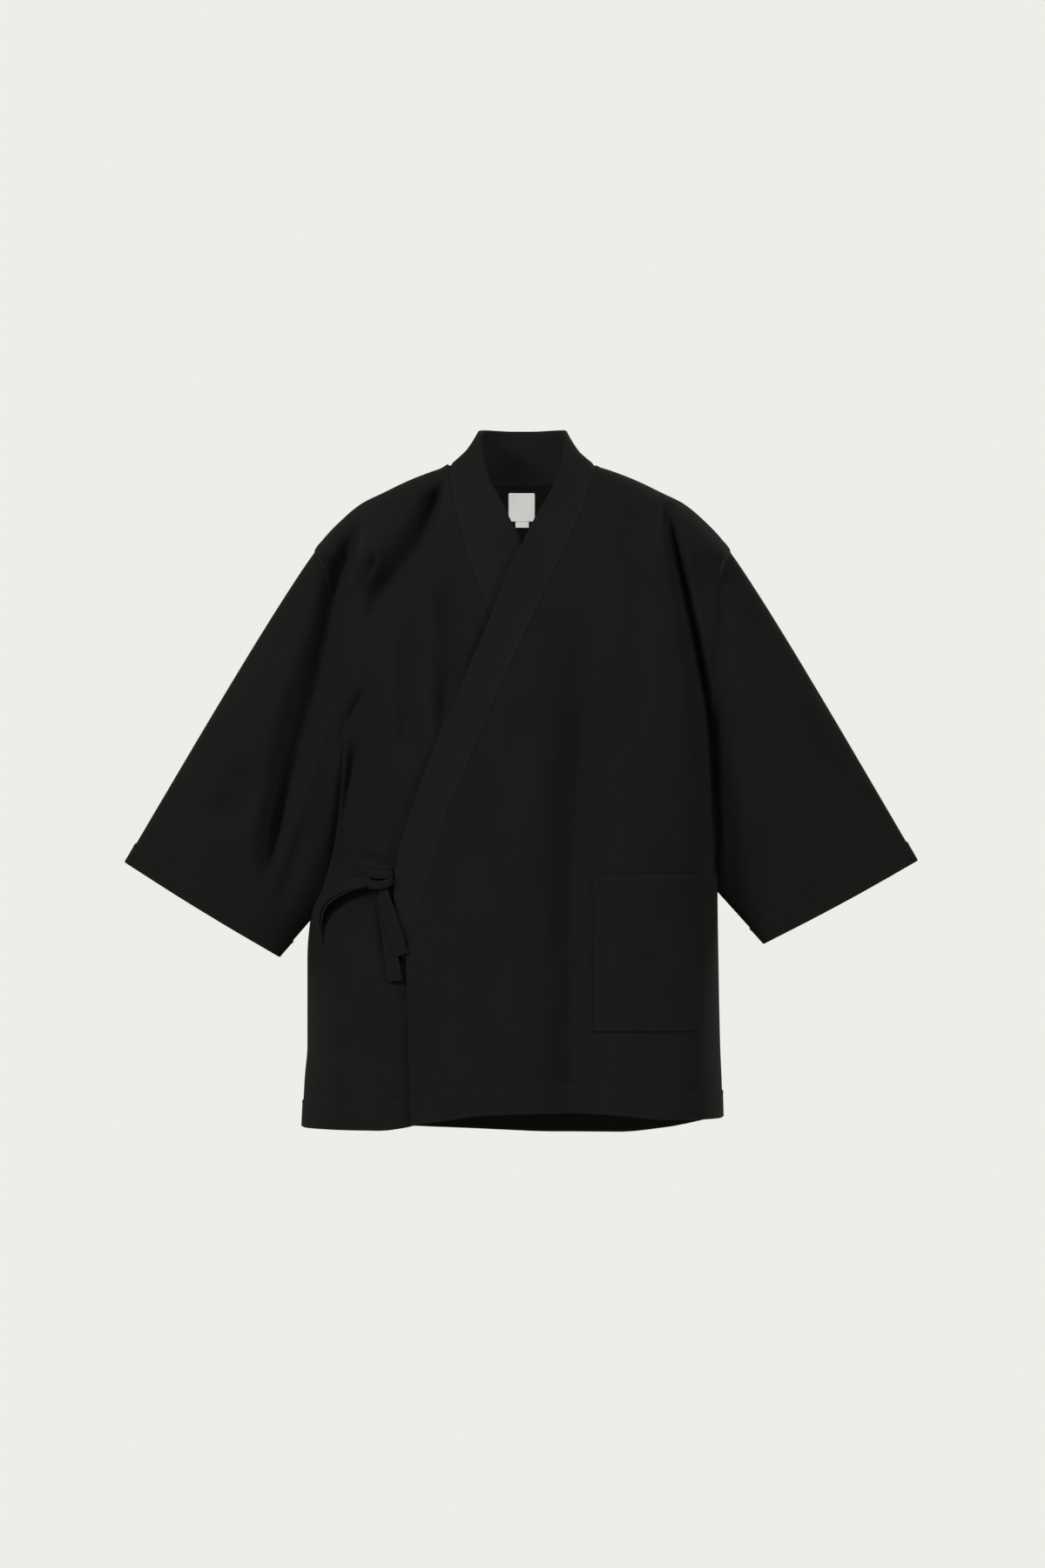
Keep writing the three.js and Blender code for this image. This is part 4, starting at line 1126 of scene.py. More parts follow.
@dataclass
class Sleeve(Panel):
    """A wide straight sleeve, folded over the shoulder and seamed below."""

    fullness: float = 9.0
    shoulder_round: float = 4.5
    back_drop: float = 2.6

    HEM_STARTS = 0.86
    PLAIN_ROWS = 0.78

    def ring_shares(self) -> tuple[Array, Array]:
        """Shares of the armhole's height round the sleeve, and which of them lie on the front."""
        steps = self.grain.sleeve_steps
        down = crowded_shares(steps)
        share = np.concatenate([down[:-1], down[:0:-1]])
        front = np.arange(len(share)) <= steps
        return share, front

    def rows(self) -> Array:
        """Shares of the sleeve's length, closer together in the cuff's hem."""
        plain = int(self.grain.sleeve_rows * self.PLAIN_ROWS)
        in_hem = np.linspace(self.HEM_STARTS, 1, self.grain.sleeve_rows - plain + 1)[1:]
        return np.concatenate([np.linspace(0, self.HEM_STARTS, plain + 1), in_hem])

    def grid(self) -> Array:
        """Points of the outside of the sleeve: a ring for each row, from the armhole to the cuff."""
        side, cuff = self.side, self.side.cuff
        share, front = self.ring_shares()
        along = self.rows()[:, None]
        share = share[None, :]
        seam_z = mix(ARMHOLE_TOP, side.underarm, share)
        x = mix(side.reach(seam_z), mix(cuff.top_x, cuff.low_x, share), along)
        z = mix(seam_z, mix(cuff.top_z, cuff.low_z, share), along)
        x = x + self.shoulder_round * np.sin(np.pi * along**0.6) * (1 - share) ** 2
        bulge = np.sin(np.pi * np.sqrt(share) ** 1.4) * np.sin(np.pi * along)
        opening = 2 * cuff.depth * np.sqrt(share * (1 - share))
        depth = mix(self.shape.seam_depth(side.underarm, seam_z), opening, along) + self.fullness * bulge
        front_points = self.shape.folded(Face.FRONT, side.sign * x, depth, z)
        longer = self.back_drop * along**4 * np.sin(np.pi * share) ** 0.7
        fall = math.atan2(cuff.low_z - cuff.top_z, cuff.low_x - cuff.top_x)
        x, z = x - longer * math.sin(fall), z + longer * math.cos(fall)
        back_points = self.shape.folded(Face.BACK, side.sign * x, depth, z)
        return np.where(front[None, :, None], front_points, back_points)

    def build(self, finishes: Finishes) -> ClothWall:
        """Makes the sleeve and gives back its wall."""
        wall = ClothWall(self.name, self.grid(), self.flip, wrapped=True, head=SEAM, foot=CUFF_HEM)
        return self.finish(wall, finishes, BODY_PANELS)


@dataclass(frozen=True)
class EdgeStation:
    """A station of the collar's free edge beside a height of its seam.

    Where lift is given the edge lies that far off the cloth at (x, z); otherwise y says where it stands.
    """

    seam: float
    x: float
    z: float
    y: float = 0.0
    lift: Optional[float] = None


def stations(*rows: tuple[float, ...]) -> tuple[EdgeStation, ...]:
    """Stations from rows of seam, x, z, y and, where the cloth says how far out the edge is, lift."""
    return tuple(EdgeStation(*row) for row in rows)


@dataclass
class CollarBand:
    """The collar in one length: up the inner front, round the neck and down the outer front."""

    shape: WornShape
    cut: Cut
    name: str = "collar_band"
    node: str = "collar"
    cells: int = 14
    front_stations: int = 150
    neck_stations: int = 26
    bulge: float = 1.6

    PRESSED_GAP = 1.0
    PRESSED_BELOW = (190, 230)
    PRESSED_INSIDE = (0, 8)
    CROWDING = 1.15

    OUTER = stations(
        (0, 49, 33, 0), (-12, 47, 13, -19), (-28, 41, -10, -38), (-48, 31, -32, -57),
        (-73, 16, -58, 0, 11), (-103, -1, -93, 0, 11), (-130, -15, -120, 0, 8),
        (-178, -31, -163, 0, 5), (-243, -58, -227, 0, 3.5), (-323, -93, -306, 0, 2.5),
        (-393, -122, -383, 0, 2), (-448, -140, -441, 0, 2), (-483, -146, -480, 0, 1.5),
        (-523, -142, -522, 0, 1), (-560, -137, -560, 0, 0.5),
    )
    INNER = stations(
        (0, -48, 36, 0), (-12, -46, 14, -19), (-28, -41, -9, -38), (-53, -28, -35, -58),
        (-83, -13, -66, 0, 10), (-113, 0, -95, 0, 7), (-150, 9, -132, 0, 4), (-178, 15, -159, 0, 1.5),
        (-243, 42, -223, 0, 1), (-323, 71, -304, 0, 0.8), (-393, 94, -380, 0, 0.6),
        (-483, 119, -476, 0, 0.5), (-523, 117, -520, 0, 0.5), (-560, 110, -560, 0, 0.5),
    )
    NECK = ((84, 0, 49, 0, 33), (79, -4, 49, 22, 42), (66, -10.5, 44, 42, 44), (45, -16.5, 31, 54, 44),
            (22, -19.3, 16, 60, 43.5), (0, NECK_DROP, 0, 62, 43.5))

    def front_ribs(
        self, seam: Rows, edge: Sequence[EdgeStation], place: Callable[[Number, Number], Array]
    ) -> tuple[Array, Array]:
        """Seam points and free edge points down one front."""
        z = mix(0.0, COLLAR_END, np.linspace(0, 1, self.front_stations + 1) ** self.CROWDING)
        start = place(Curve(seam)(z), z)
        lifted = [
            (s.seam, s.x, s.y if s.lift is None else float(place(s.x, s.z)[1]) - s.lift, s.z) for s in edge
        ]
        end = np.stack([Curve([(row[0], row[k]) for row in lifted])(z) for k in (1, 2, 3)], axis=-1)
        return start, end

    def neck_ribs(self, sign: int, top: float) -> tuple[Array, Array]:
        """Seam points and free edge points from a shoulder to the middle of the back."""
        rows = np.array(self.NECK, float)
        rows[0, 4] = top
        smooth = smooth_line(rows, self.neck_stations + 1)
        start = self.shape.point(Face.BACK, sign * smooth[:, 0], smooth[:, 1])
        end = np.stack([sign * smooth[:, 2], smooth[:, 3], smooth[:, 4]], axis=-1)
        return start, end

    def grid(self) -> Array:
        """Points of the outside of the band: rows run across it, from its seam to its free edge."""
        inner_start, inner_end = self.front_ribs(INNER_SEAM, self.INNER, self.shape.inner_point)
        outer_start, outer_end = self.front_ribs(
            OUTER_SEAM, self.OUTER, lambda x, z: self.shape.point(Face.FRONT, x, z)
        )
        right_start, right_end = self.neck_ribs(RIGHT.sign, self.INNER[0].z)
        left_start, left_end = self.neck_ribs(LEFT.sign, self.OUTER[0].z)
        start = np.vstack([inner_start[::-1], right_start[1:], left_start[-2::-1], outer_start[1:]])
        end = np.vstack([inner_end[::-1], right_end[1:], left_end[-2::-1], outer_end[1:]])
        share = np.linspace(0, 1, self.cells + 1)[:, None, None]
        flat = mix(start[None], end[None], share)
        normals = grid_normals(flat, True, False)
        band = flat + normals * self.bulge * np.sin(np.pi * share)
        covered = band[:, : len(inner_start)]
        covered[..., 1] = self.pressed(covered)
        return band

    def pressed(self, band: Array) -> Array:
        """How far back the inner front's band lies once the outer front's folds press on it."""
        x, y, z = band[..., 0], band[..., 1], band[..., 2]
        under = self.shape.inner_point(x, z)[..., 1] - self.PRESSED_GAP
        share = smoothstep(-z,
                           *self.PRESSED_BELOW) * smoothstep(x - self.shape.cover(z), *self.PRESSED_INSIDE)
        return mix(y, np.maximum(y, under), share)

    def build(self, finishes: Finishes) -> ClothWall:
        """Makes the band and gives back its wall."""
        # Along the seam's ridge the band is painted paler, a painted highlight.
        seam = Edge(dip=0.6, dip_width=1.6, ridge=1.25, rubbed_and_highlight=0.9)
        # The whole band is painted paler, a painted highlight for the light the standing band catches.
        wall = ClothWall(self.name, self.grid(), True, thickness=COLLAR_CLOTH, head=seam,
                         step=COLLAR_STEP, painted_highlight=0.45)
        finish_piece(wall.build(), finishes.cotton, [self.node], self.cut)
        return wall


class EdgeName(Enum):
    """The four edges of a panel's grid."""

    HEAD = "head"
    FOOT = "foot"
    FIRST = "first"
    LAST = "last"


@dataclass(frozen=True)
class StitchLine:
    """A line of stitches: its points and the way the cloth faces under each."""

    points: Array
    normals: Array

    def part(self, keep: Array) -> "StitchLine":
        """The points that are kept."""
        return StitchLine(self.points[keep], self.normals[keep])


def stitch_line(wall: ClothWall, edge: EdgeName, away: float) -> StitchLine:
    """A line on a wall's outside that runs beside one of its edges.

    Args:
        wall: the cloth.
        edge: the edge that the line follows.
        away: the line's distance from the edge, in millimetres.

    Returns:
        The line.
    """
    grid, normal, base = wall.dressed()[0], grid_normals(wall.grid, wall.flip, wall.wrapped), wall.grid
    if edge in (EdgeName.FIRST, EdgeName.LAST):
        grid, normal, base = grid.swapaxes(0, 1), normal.swapaxes(0, 1), base.swapaxes(0, 1)
    if edge in (EdgeName.FOOT, EdgeName.LAST):
        grid, normal, base = grid[::-1], normal[::-1], base[::-1]
    travel = distances(base, 0)
    rank = np.arange(len(travel))
    at = np.array([np.interp(away, travel[:, k], rank) for k in range(travel.shape[1])])
    low = np.minimum(at.astype(int), len(base) - 2)
    part = (at - low)[:, None]
    column = np.arange(base.shape[1])
    points = mix(grid[low, column], grid[low + 1, column], part)
    ups = mix(normal[low, column], normal[low + 1, column], part)
    if wall.wrapped:
        points, ups = np.vstack([points, points[:1]]), np.vstack([ups, ups[:1]])
    return StitchLine(points, ups)


def sweep(
    name: str, centres: Array, sides: Array, width: Array, thickness: float, groove: float = 0.2
) -> bpy.types.Object:
    """A flat sewn strap along a line, its long edges rounded and stitched, its ends closed.

    Args:
        name: the piece's name.
        centres: the line's points.
        sides: the way across the strap at each point.
        width: the strap's width at each point.
        thickness: the strap's thickness.
        groove: how deep its rows of edge stitching sink.

    Returns:
        The mesh object.
    """
    tangent = np.gradient(centres, axis=0)
    tangent /= np.linalg.norm(tangent, axis=1, keepdims=True)
    across = sides - (sides * tangent).sum(1, keepdims=True) * tangent
    across /= np.linalg.norm(across, axis=1, keepdims=True)
    up = np.cross(across, tangent)
    turn = np.linspace(0, 2 * np.pi, 33)[:-1]
    u = np.sign(np.cos(turn)) * np.abs(np.cos(turn)) ** 0.45
    v = np.sign(np.sin(turn)) * np.abs(np.sin(turn)) ** 0.7
    v = v * (1 - groove * np.exp(-(((np.abs(u) - 0.76) / 0.08) ** 2)))
    half = np.asarray(width, float)[:, None] / 2
    along = travelled(centres)
    to_end = np.minimum(along, along[-1] - along)
    thin = 0.45 + 0.55 * smoothstep(to_end, -0.01, 1.0)
    points = (
        centres[:, None]
        + across[:, None] * (u[None, :] * half)[..., None]
        + up[:, None] * (v[None, :] * thin[:, None] * thickness / 2)[..., None]
    )
    rows, columns = points.shape[:2]
    number = np.arange(rows * columns).reshape(rows, columns)
    right = np.roll(number, -1, axis=1)
    quads = np.stack([number[:-1], right[:-1], right[1:], number[1:]], axis=-1).reshape(-1, 4).tolist()
    first, last = rows * columns, rows * columns + 1
    verts = np.vstack([points.reshape(-1, 3), centres[:1], centres[-1:]])
    caps = [[int(right[0, k]), int(number[0, k]), first] for k in range(columns)]
    caps += [[int(number[-1, k]), int(right[-1, k]), last] for k in range(columns)]
    uv = np.stack(np.broadcast_arrays(u[None, :] * half, along[:, None]), axis=-1).reshape(-1, 2)
    uv = np.vstack([uv, [[0, 0]], [[0, along[-1]]]]) * MM
    paleness = np.clip((np.abs(u) - 0.8) / 0.2, 0, 1)[None, :] + 0.8 * (1 - smoothstep(to_end, 0, 2.0))[:, None]
    paleness = np.concatenate([np.clip(paleness, 0, 1).ravel(), [1, 1]])
    return mesh_object(name, verts, quads + caps, uv, paleness)


@dataclass
class Strap:
    """A sewn tie that lies over the front's cloth, held as (x, z, distance off the cloth)."""

    name: str
    node: str
    line: Route
    shape: WornShape
    width: float = 16.5
    thickness: float = STRAP_CLOTH
    narrow: float = 1.0
    per_mm: float = 1.1
    rests_on: tuple[str, ...] = ("inner_front",)

    def route(self) -> tuple[Array, Array]:
        """The middle line's points and the way across the strap at each."""
        rough = smooth_line(self.line, 240)
        centres = self.shape.lifted(rough[:, 0], rough[:, 1], rough[:, 2])
        count = int(travelled(centres)[-1] * self.per_mm) + 2
        normal = self.shape.front_normal(rough[:, 0], rough[:, 1])
        joined = even_line(np.hstack([centres, normal * 0.01]), count)
        centres, normal = joined[:, :3], joined[:, 3:]
        tangent = np.gradient(centres, axis=0)
        return centres, np.cross(tangent, normal)

    def widths(self, count: int) -> Array:
        """The strap's width at each point, narrower where it goes into the knot."""
        share = np.linspace(0, 1, count)
        return self.width * mix(self.narrow, 1.0, smoothstep(share, 0.0, 0.3))

    def build(self, finishes: Finishes) -> bpy.types.Object:
        """Makes the strap."""
        centres, sides = self.route()
        piece = sweep(self.name, centres, sides, self.widths(len(centres)), self.thickness)
        length = float(travelled(centres)[-1])
        return finish_piece(piece, finishes.cotton, [self.node],
                            Cut(self.width * MM, max(length * MM, LEAST_FLAT)))


@dataclass
class BowLoop(Strap):
    """The half bow: the strap goes out from the knot, turns back on itself and comes home underneath."""

    opening: float = 2.6
    spread: float = 3.2

    def route(self) -> tuple[Array, Array]:
        """The loop's line out and back, with the way across it kept the same."""
        out, across = super().route()
        rank = np.linspace(0, 1, len(out))
        rough = even_line(smooth_line(self.line, 240), len(out))
        normal = self.shape.front_normal(rough[:, 0], rough[:, 1])
        gap = self.opening * (0.3 + 0.7 * np.sin(np.pi * np.clip(rank, 0, 1) ** 0.8))[:, None]
        gap[0:3] = gap[3]
        across /= np.linalg.norm(across, axis=1, keepdims=True)
        upper = out + normal * gap / 2
        lower = out - normal * gap / 2 + across * (self.spread * np.sin(np.pi * rank))[:, None]
        end_way = out[0] - out[2]
        end_way /= np.linalg.norm(end_way)
        turn = np.linspace(0, np.pi, 9)[1:-1, None]
        radius = gap[0] / 2
        bend = out[0] + normal[0] * np.cos(turn) * radius + end_way * np.sin(turn) * radius * 1.3
        centres = np.vstack([upper[::-1], bend, lower])
        sides = np.vstack([across[::-1], np.repeat(across[:1], len(bend), axis=0), across])
        return centres, sides

    def widths(self, count: int) -> Array:
        """The loop's width at each point, narrower at both ends in the knot."""
        share = np.linspace(0, 1, count)
        return self.width * mix(self.narrow, 1.0, np.sin(np.pi * share) ** 0.45)


@dataclass
class Knot:
    """The knot that holds both ties: a core with three turns of strap pulled tight over it."""

    shape: WornShape
    name: str = "knot"
    node: str = "tie_knot"
    x: float = -160.0
    z: float = -471.0
    lift: float = 10.8
    band: float = 9.5
    thickness: float = 4.2

    def frame(self) -> tuple[Array, Array, Array, Array]:
        """The knot's middle, and its ways across, up and out."""
        middle = self.shape.lifted(self.x, self.z, self.lift)
        out = self.shape.front_normal(self.x, self.z)
        across = np.cross(np.array([0.0, 0.0, 1.0]), -out)
        across /= np.linalg.norm(across)
        return middle, across, np.cross(-across, out), out

    def turn_of_strap(self, name: str, path: Sequence[Place], way: tuple[float, float]) -> bpy.types.Object:
        """One turn: a path in the knot's own axes, and the way across the strap."""
        middle, across, up, out = self.frame()
        line = even_line(smooth_line(path, 60), 34)
        centres = middle + line[:, :1] * across + line[:, 1:2] * up + line[:, 2:] * out
        side = np.repeat((way[0] * across + way[1] * up)[None], len(centres), axis=0)
        share = np.linspace(0, 1, len(centres))
        width = self.band * (0.7 + 0.3 * np.sin(np.pi * share) ** 0.5)
        return sweep(name, centres, side, width, self.thickness, 0.12)

    def build(self, finishes: Finishes) -> bpy.types.Object:
        """Makes the knot in one piece."""
        turns = (
            ("knot_upper", ((-16, 1, -6), (-14.5, 4.5, -1), (-9, 7.2, 3), (-1, 8.2, 4.6), (7, 6.6, 4),
                            (13, 1.5, 0.5),
                            (14.5, -4, -5)), (0.12, 1)),
            ("knot_lower", ((-16, -4.5, -6), (-13.5, -4.2, 0), (-7, -3.6, 4.4), (1, -4, 5.4), (8, -5.6, 3.6),
                            (12.5, -8, -2), (13, -10, -6)), (0.1, 1)),
            ("knot_under", ((-13, -9.5, -6), (-8, -10.2, -1.5), (0, -11, 0), (7, -11.8, -1.5),
                            (11, -12.5, -6)), (0, 1)),
            ("knot_core", ((-12, 1, -2.5), (0, 0.5, -1.5), (11, -2, -2.5)), (0, 1)),
        )
        parts = [self.turn_of_strap(name, path, way) for name, path, way in turns]
        return finish_piece(joined(parts, self.name), finishes.cotton, [self.node])


@dataclass
class PatchPocket:
    """The patch pocket on the outer front: hemmed at its mouth, stitched down on its other sides."""

    shape: WornShape
    name: str = "pocket"
    node: str = "left_pocket"
    left: float = 82.0
    right: float = 203.0
    top: float = -467.0
    bottom: float = -643.0
    gap: float = 0.35
    mouth: float = 1.1
    mouth_hem: float = 22.0
    columns: int = 60
    rows: int = 84

    def wall(self) -> ClothWall:
        """The pocket's cloth."""
        u = np.linspace(0, 1, self.columns + 1)[None, :]
        v = np.linspace(0, 1, self.rows + 1)[:, None]
        x, z = np.broadcast_arrays(mix(self.left, self.right, u), mix(self.top, self.bottom, v))
        slack = np.sin(np.pi * u) ** 0.6 * (1 - v) ** 2 * self.mouth
        slack = slack + 1.1 * np.exp(-(((u - 0.35) / 0.16) ** 2)) * np.sin(np.pi * v) ** 2
        lift = self.gap + PATCH_CLOTH + slack
        sewn = Edge(dip=0.5, dip_width=1.4)
        return ClothWall(self.name, self.shape.lifted(x, z, lift), True, thickness=PATCH_CLOTH,
                         head=Edge(hem=self.mouth_hem, groove=0.4), foot=sewn, first=sewn, last=sewn)

    def build(self, finishes: Finishes) -> ClothWall:
        """Makes the pocket and gives back its wall."""
        wall = self.wall()
        finish_piece(wall.build(), finishes.cotton, [self.node], Cut(0.138, 0.177))
        return wall

    def lines(self, wall: ClothWall) -> list[StitchLine]:
        """The rows of stitches that hold the pocket."""
        sewn = [stitch_line(wall, edge,
                            PATCH_STITCH_IN) for edge in (EdgeName.FIRST, EdgeName.LAST, EdgeName.FOOT)]
        return sewn + [stitch_line(wall, EdgeName.HEAD, self.mouth_hem - STITCH_IN)]


@dataclass
class WovenLabel:
    """A bare white label with a small tab below it, sewn inside the back below the collar."""

    shape: WornShape
    name: str = "neck_label"
    left: float = -16.0
    right: float = 14.0
    top: float = -26.0
    bottom: float = -58.0
    tab_left: float = -8.0
    tab_right: float = 7.0
    tab_bottom: float = -65.0
    gap: float = 1.0
    thickness: float = 0.7

    def patch(self, name: str, left: float, right: float, top: float, bottom: float,
              lift: float) -> ClothWall:
        """A rectangle of tape that lies inside the back."""
        columns, rows = max(int(right - left), 6), max(int(top - bottom), 5)
        x = mix(left, right, np.linspace(0, 1, columns + 1))[None, :]
        z = mix(top, bottom, np.linspace(0, 1, rows + 1))[:, None]
        points = self.shape.point(Face.BACK, x, z)
        points[..., 1] -= CLOTH + lift
        end, sewn = Edge(dip=0.15, dip_width=1.2), Edge(dip=0.25, dip_width=1.6)
        return ClothWall(name, points, True, thickness=self.thickness, head=end, foot=end, first=sewn,
                         last=sewn)

    def build(self, finishes: Finishes) -> list[StitchLine]:
        """Makes the label and its tab, and gives back where it is sewn."""
        label = self.patch("label_body", self.left, self.right, self.top, self.bottom,
                           self.gap + self.thickness)
        tab = self.patch("label_tab", self.tab_left, self.tab_right, self.bottom + 1.0, self.tab_bottom,
                         self.gap)
        piece = joined([label.build(), tab.build()], self.name)
        finish_piece(piece, finishes.tape, ["label", "size_tab"], Cut(0.030, 0.039, 0.00107))
        return [stitch_line(label, EdgeName.FIRST, 1.6), stitch_line(label, EdgeName.LAST, 1.6)]


STITCH_IN = 2.0
SLIT_STITCH_IN = 7.0
SLIT_STITCH_ABOVE = 6.0
COLLAR_STITCH_IN = 2.4
PATCH_STITCH_IN = 2.2


@dataclass
class Stitching:
    """Rows of machine stitches, laid along lines by a Geometry Nodes tree."""

    stitch: float = 2.5
    pitch: float = 3.3
    thread: float = 0.42
    seed: int = 11

    def group(self) -> bpy.types.NodeTree:
        """The tree: each line is cut into even steps, and a rounded stitch lies on each step."""
        made = bpy.data.node_groups.new("stitch_rows", "GeometryNodeTree")
        face = made.interface
        face.new_socket("Lines", in_out="INPUT", socket_type="NodeSocketGeometry")
        for label in ("Pitch", "Stitch Length", "Thread Width"):
            face.new_socket(label, in_out="INPUT", socket_type="NodeSocketFloat")
        face.new_socket("Seed", in_out="INPUT", socket_type="NodeSocketInt")
        face.new_socket("Thread", in_out="INPUT", socket_type="NodeSocketMaterial")
        face.new_socket("Stitches", in_out="OUTPUT", socket_type="NodeSocketGeometry")
        tree = Tree(made)
        given = tree.node("NodeGroupInput")
        curve = tree.node("GeometryNodeMeshToCurve", None, Mesh=tree.out(given, "Lines"))
        steps = tree.node("GeometryNodeResampleCurve", {"mode": "LENGTH"}, Curve=tree.out(curve),
                          Length=tree.out(given, "Pitch"))
        ball = tree.node("GeometryNodeMeshUVSphere", None, Segments=6, Rings=4, Radius=0.5)
        thick = tree.out(given, "Thread Width")
        size = tree.node("ShaderNodeCombineXYZ", None, X=tree.out(given, "Stitch Length"), Y=thick * 1.25,
                         Z=thick)
        stitch = tree.node("GeometryNodeTransform", None, Geometry=tree.out(ball, "Mesh"),
                           Scale=tree.out(size))
        up = tree.node("GeometryNodeInputNamedAttribute", {"data_type": "FLOAT_VECTOR"}, Name="up")
        tangent = tree.node("GeometryNodeInputTangent")
        sway = tree.node("FunctionNodeRandomValue", {"data_type": "FLOAT_VECTOR"}, i0=(-0.07, -0.07, -0.07),
                         i1=(0.07, 0.07, 0.07), Seed=tree.out(given, "Seed"))
        way = tree.node("ShaderNodeVectorMath", {"operation": "ADD"}, i0=tree.out(tangent),
                        i1=tree.out(sway, 0))
        turned = tree.node("FunctionNodeAxesToRotation", {"primary_axis": "X", "secondary_axis": "Z"},
                           Primary_Axis=tree.out(way), Secondary_Axis=tree.out(up))
        laid = tree.node("GeometryNodeInstanceOnPoints", None, Points=tree.out(steps),
                         Instance=tree.out(stitch),
                         Rotation=tree.out(turned))
        real = tree.node("GeometryNodeRealizeInstances", None, Geometry=tree.out(laid))
        smooth = tree.node("GeometryNodeSetShadeSmooth", None, Geometry=tree.out(real))
        done = tree.node("GeometryNodeSetMaterial", None, Geometry=tree.out(smooth),
                         Material=tree.out(given, "Thread"))
        tree.node("NodeGroupOutput", None, Stitches=tree.out(done))
        return made

    def build(self, name: str, lines: Sequence[StitchLine], material: bpy.types.Material) -> bpy.types.Object:
        """Lays the stitches.

        Args:
            name: the piece's name.
            lines: where the rows run.
            material: the thread.

        Returns:
            The stitches as one plain mesh.
        """
        mesh = bpy.data.meshes.new(name)
        points = np.vstack([line.points + line.normals * self.thread * 0.1 for line in lines])
        ups = np.vstack([line.normals for line in lines])
        edges, start = [], 0
        for line in lines:
            edges += [(k, k + 1) for k in range(start, start + len(line.points) - 1)]
            start += len(line.points)
        mesh.from_pydata((points * MM).tolist(), edges, [])
        layer = mesh.attributes.new("up", "FLOAT_VECTOR", "POINT")
        layer.data.foreach_set("vector", ups.astype(np.float32).ravel())
        piece = bpy.data.objects.new(name, mesh)
        bpy.context.scene.collection.objects.link(piece)
        group = self.group()
        names = {item.name: item.identifier for item in group.interface.items_tree if item.in_out == "INPUT"}
        modifier = piece.modifiers.new("stitches", "NODES")
        modifier.node_group = group
        values = {"Pitch": self.pitch * MM, "Stitch Length": self.stitch * MM,
                  "Thread Width": self.thread * MM,
                  "Seed": self.seed, "Thread": material}
        for label, value in values.items():
            modifier[names[label]] = value
        graph = bpy.context.evaluated_depsgraph_get()
        plain = bpy.data.meshes.new_from_object(piece.evaluated_get(graph))
        piece.modifiers.clear()
        piece.data = plain
        plain.materials.clear()
        return finish_piece(piece, material)


@dataclass
class Studio:
    """The camera, the light and the plain pale floor."""

    distance: float = 8.0
    centre_z: float = -0.363
    frame_height: float = 1.8
    floor_z: float = -1.62
    floor_radius: float = 2.4
    backdrop: tuple[float, float, float] = (0.855, 0.847, 0.807)
    glow: float = 0.2
    neck_power: float = 0.075

    def area_light(self, name: str, place: Place, size: float, power: float,
                   way: Optional[Place] = None) -> None:
        """Adds a soft square light that looks at the jacket, or one that looks that way and stays unseen."""
        data = bpy.data.lights.new(name, "AREA")
        data.size = size
        data.energy = power
        light = bpy.data.objects.new(name, data)
        light.location = place
        aim = Vector(way) if way else Vector((0, 0, self.centre_z)) - Vector(place)
        light.rotation_euler = aim.to_track_quat("-Z", "Y").to_euler()
        light.visible_camera = way is None
        bpy.context.scene.collection.objects.link(light)

    def world(self) -> None:
        """Sets the plain backdrop, which also lights the jacket evenly."""
        world = bpy.data.worlds.new("backdrop")
        world.use_nodes = True
        tree = Tree(world.node_tree)
        seen = tree.node("ShaderNodeBackground", None, Color=(*self.backdrop, 1.0), Strength=1.0)
        glow = tree.node("ShaderNodeBackground", None, Color=(*self.backdrop, 1.0), Strength=self.glow)
        path = tree.node("ShaderNodeLightPath")
        shader = tree.node(
            "ShaderNodeMixShader", None, i0=tree.out(path, "Is Camera Ray"), i1=tree.out(glow),
            i2=tree.out(seen)
        )
        tree.node("ShaderNodeOutputWorld", None, Surface=tree.out(shader))
        bpy.context.scene.world = world

    def camera(self) -> None:
        """Places the camera level with the middle of the picture."""
        data = bpy.data.cameras.new("camera")
        data.sensor_width = 36.0
        data.sensor_fit = "AUTO"
        data.lens = data.sensor_width * self.distance / self.frame_height
        data.clip_end = 100.0
        camera = bpy.data.objects.new("camera", data)
        camera.location = (0.0, -self.distance, self.centre_z)
        camera.rotation_euler = (math.pi / 2, 0.0, 0.0)
        bpy.context.scene.collection.objects.link(camera)
        bpy.context.scene.camera = camera

    def floor(self) -> None:
        """Lays a pale disc well below the jacket."""
        turn = np.linspace(0, 2 * np.pi, 97)[:-1]
        rim = np.stack([np.cos(turn), np.sin(turn), np.zeros_like(turn)], axis=-1) * self.floor_radius
        rim[:, 2] = self.floor_z
        floor = mesh_object("floor", rim / MM, [list(range(len(rim)))])
        made, tree = new_material("pale_floor")
        grain = tree.noise(tree.out(tree.node("ShaderNodeTexCoord"), "Object"), 3.0)
        tree.surface(Base_Color=tree.shade((0.8, 0.795, 0.77), 0.98 + grain * 0.04), Roughness=0.9)
        floor.data.materials.append(made)

    def build(self) -> None:
        """Sets up the whole studio."""
        bpy.context.scene.view_settings.view_transform = "Standard"
        self.world()
        self.camera()
        self.floor()
        self.area_light("key_light", (-3.4, -3.2, 2.2), 1.3, 242.0)
        self.area_light("front_light", (0.9, -4.0, 2.6), 1.3, 95.0)
        self.area_light("fill_light", (3.7, -3.2, 1.2), 1.6, 108.0)
        self.area_light("neck_light", (0.0, -0.03, -0.06), 0.09, self.neck_power, (0.0, 1.0, 0.25))
        self.area_light("left_rear_light", (-3.2, 2.2, 1.2), 1.6, 70.0)
        self.area_light("right_rear_light", (2.9, 2.9, 1.6), 1.4, 145.0)


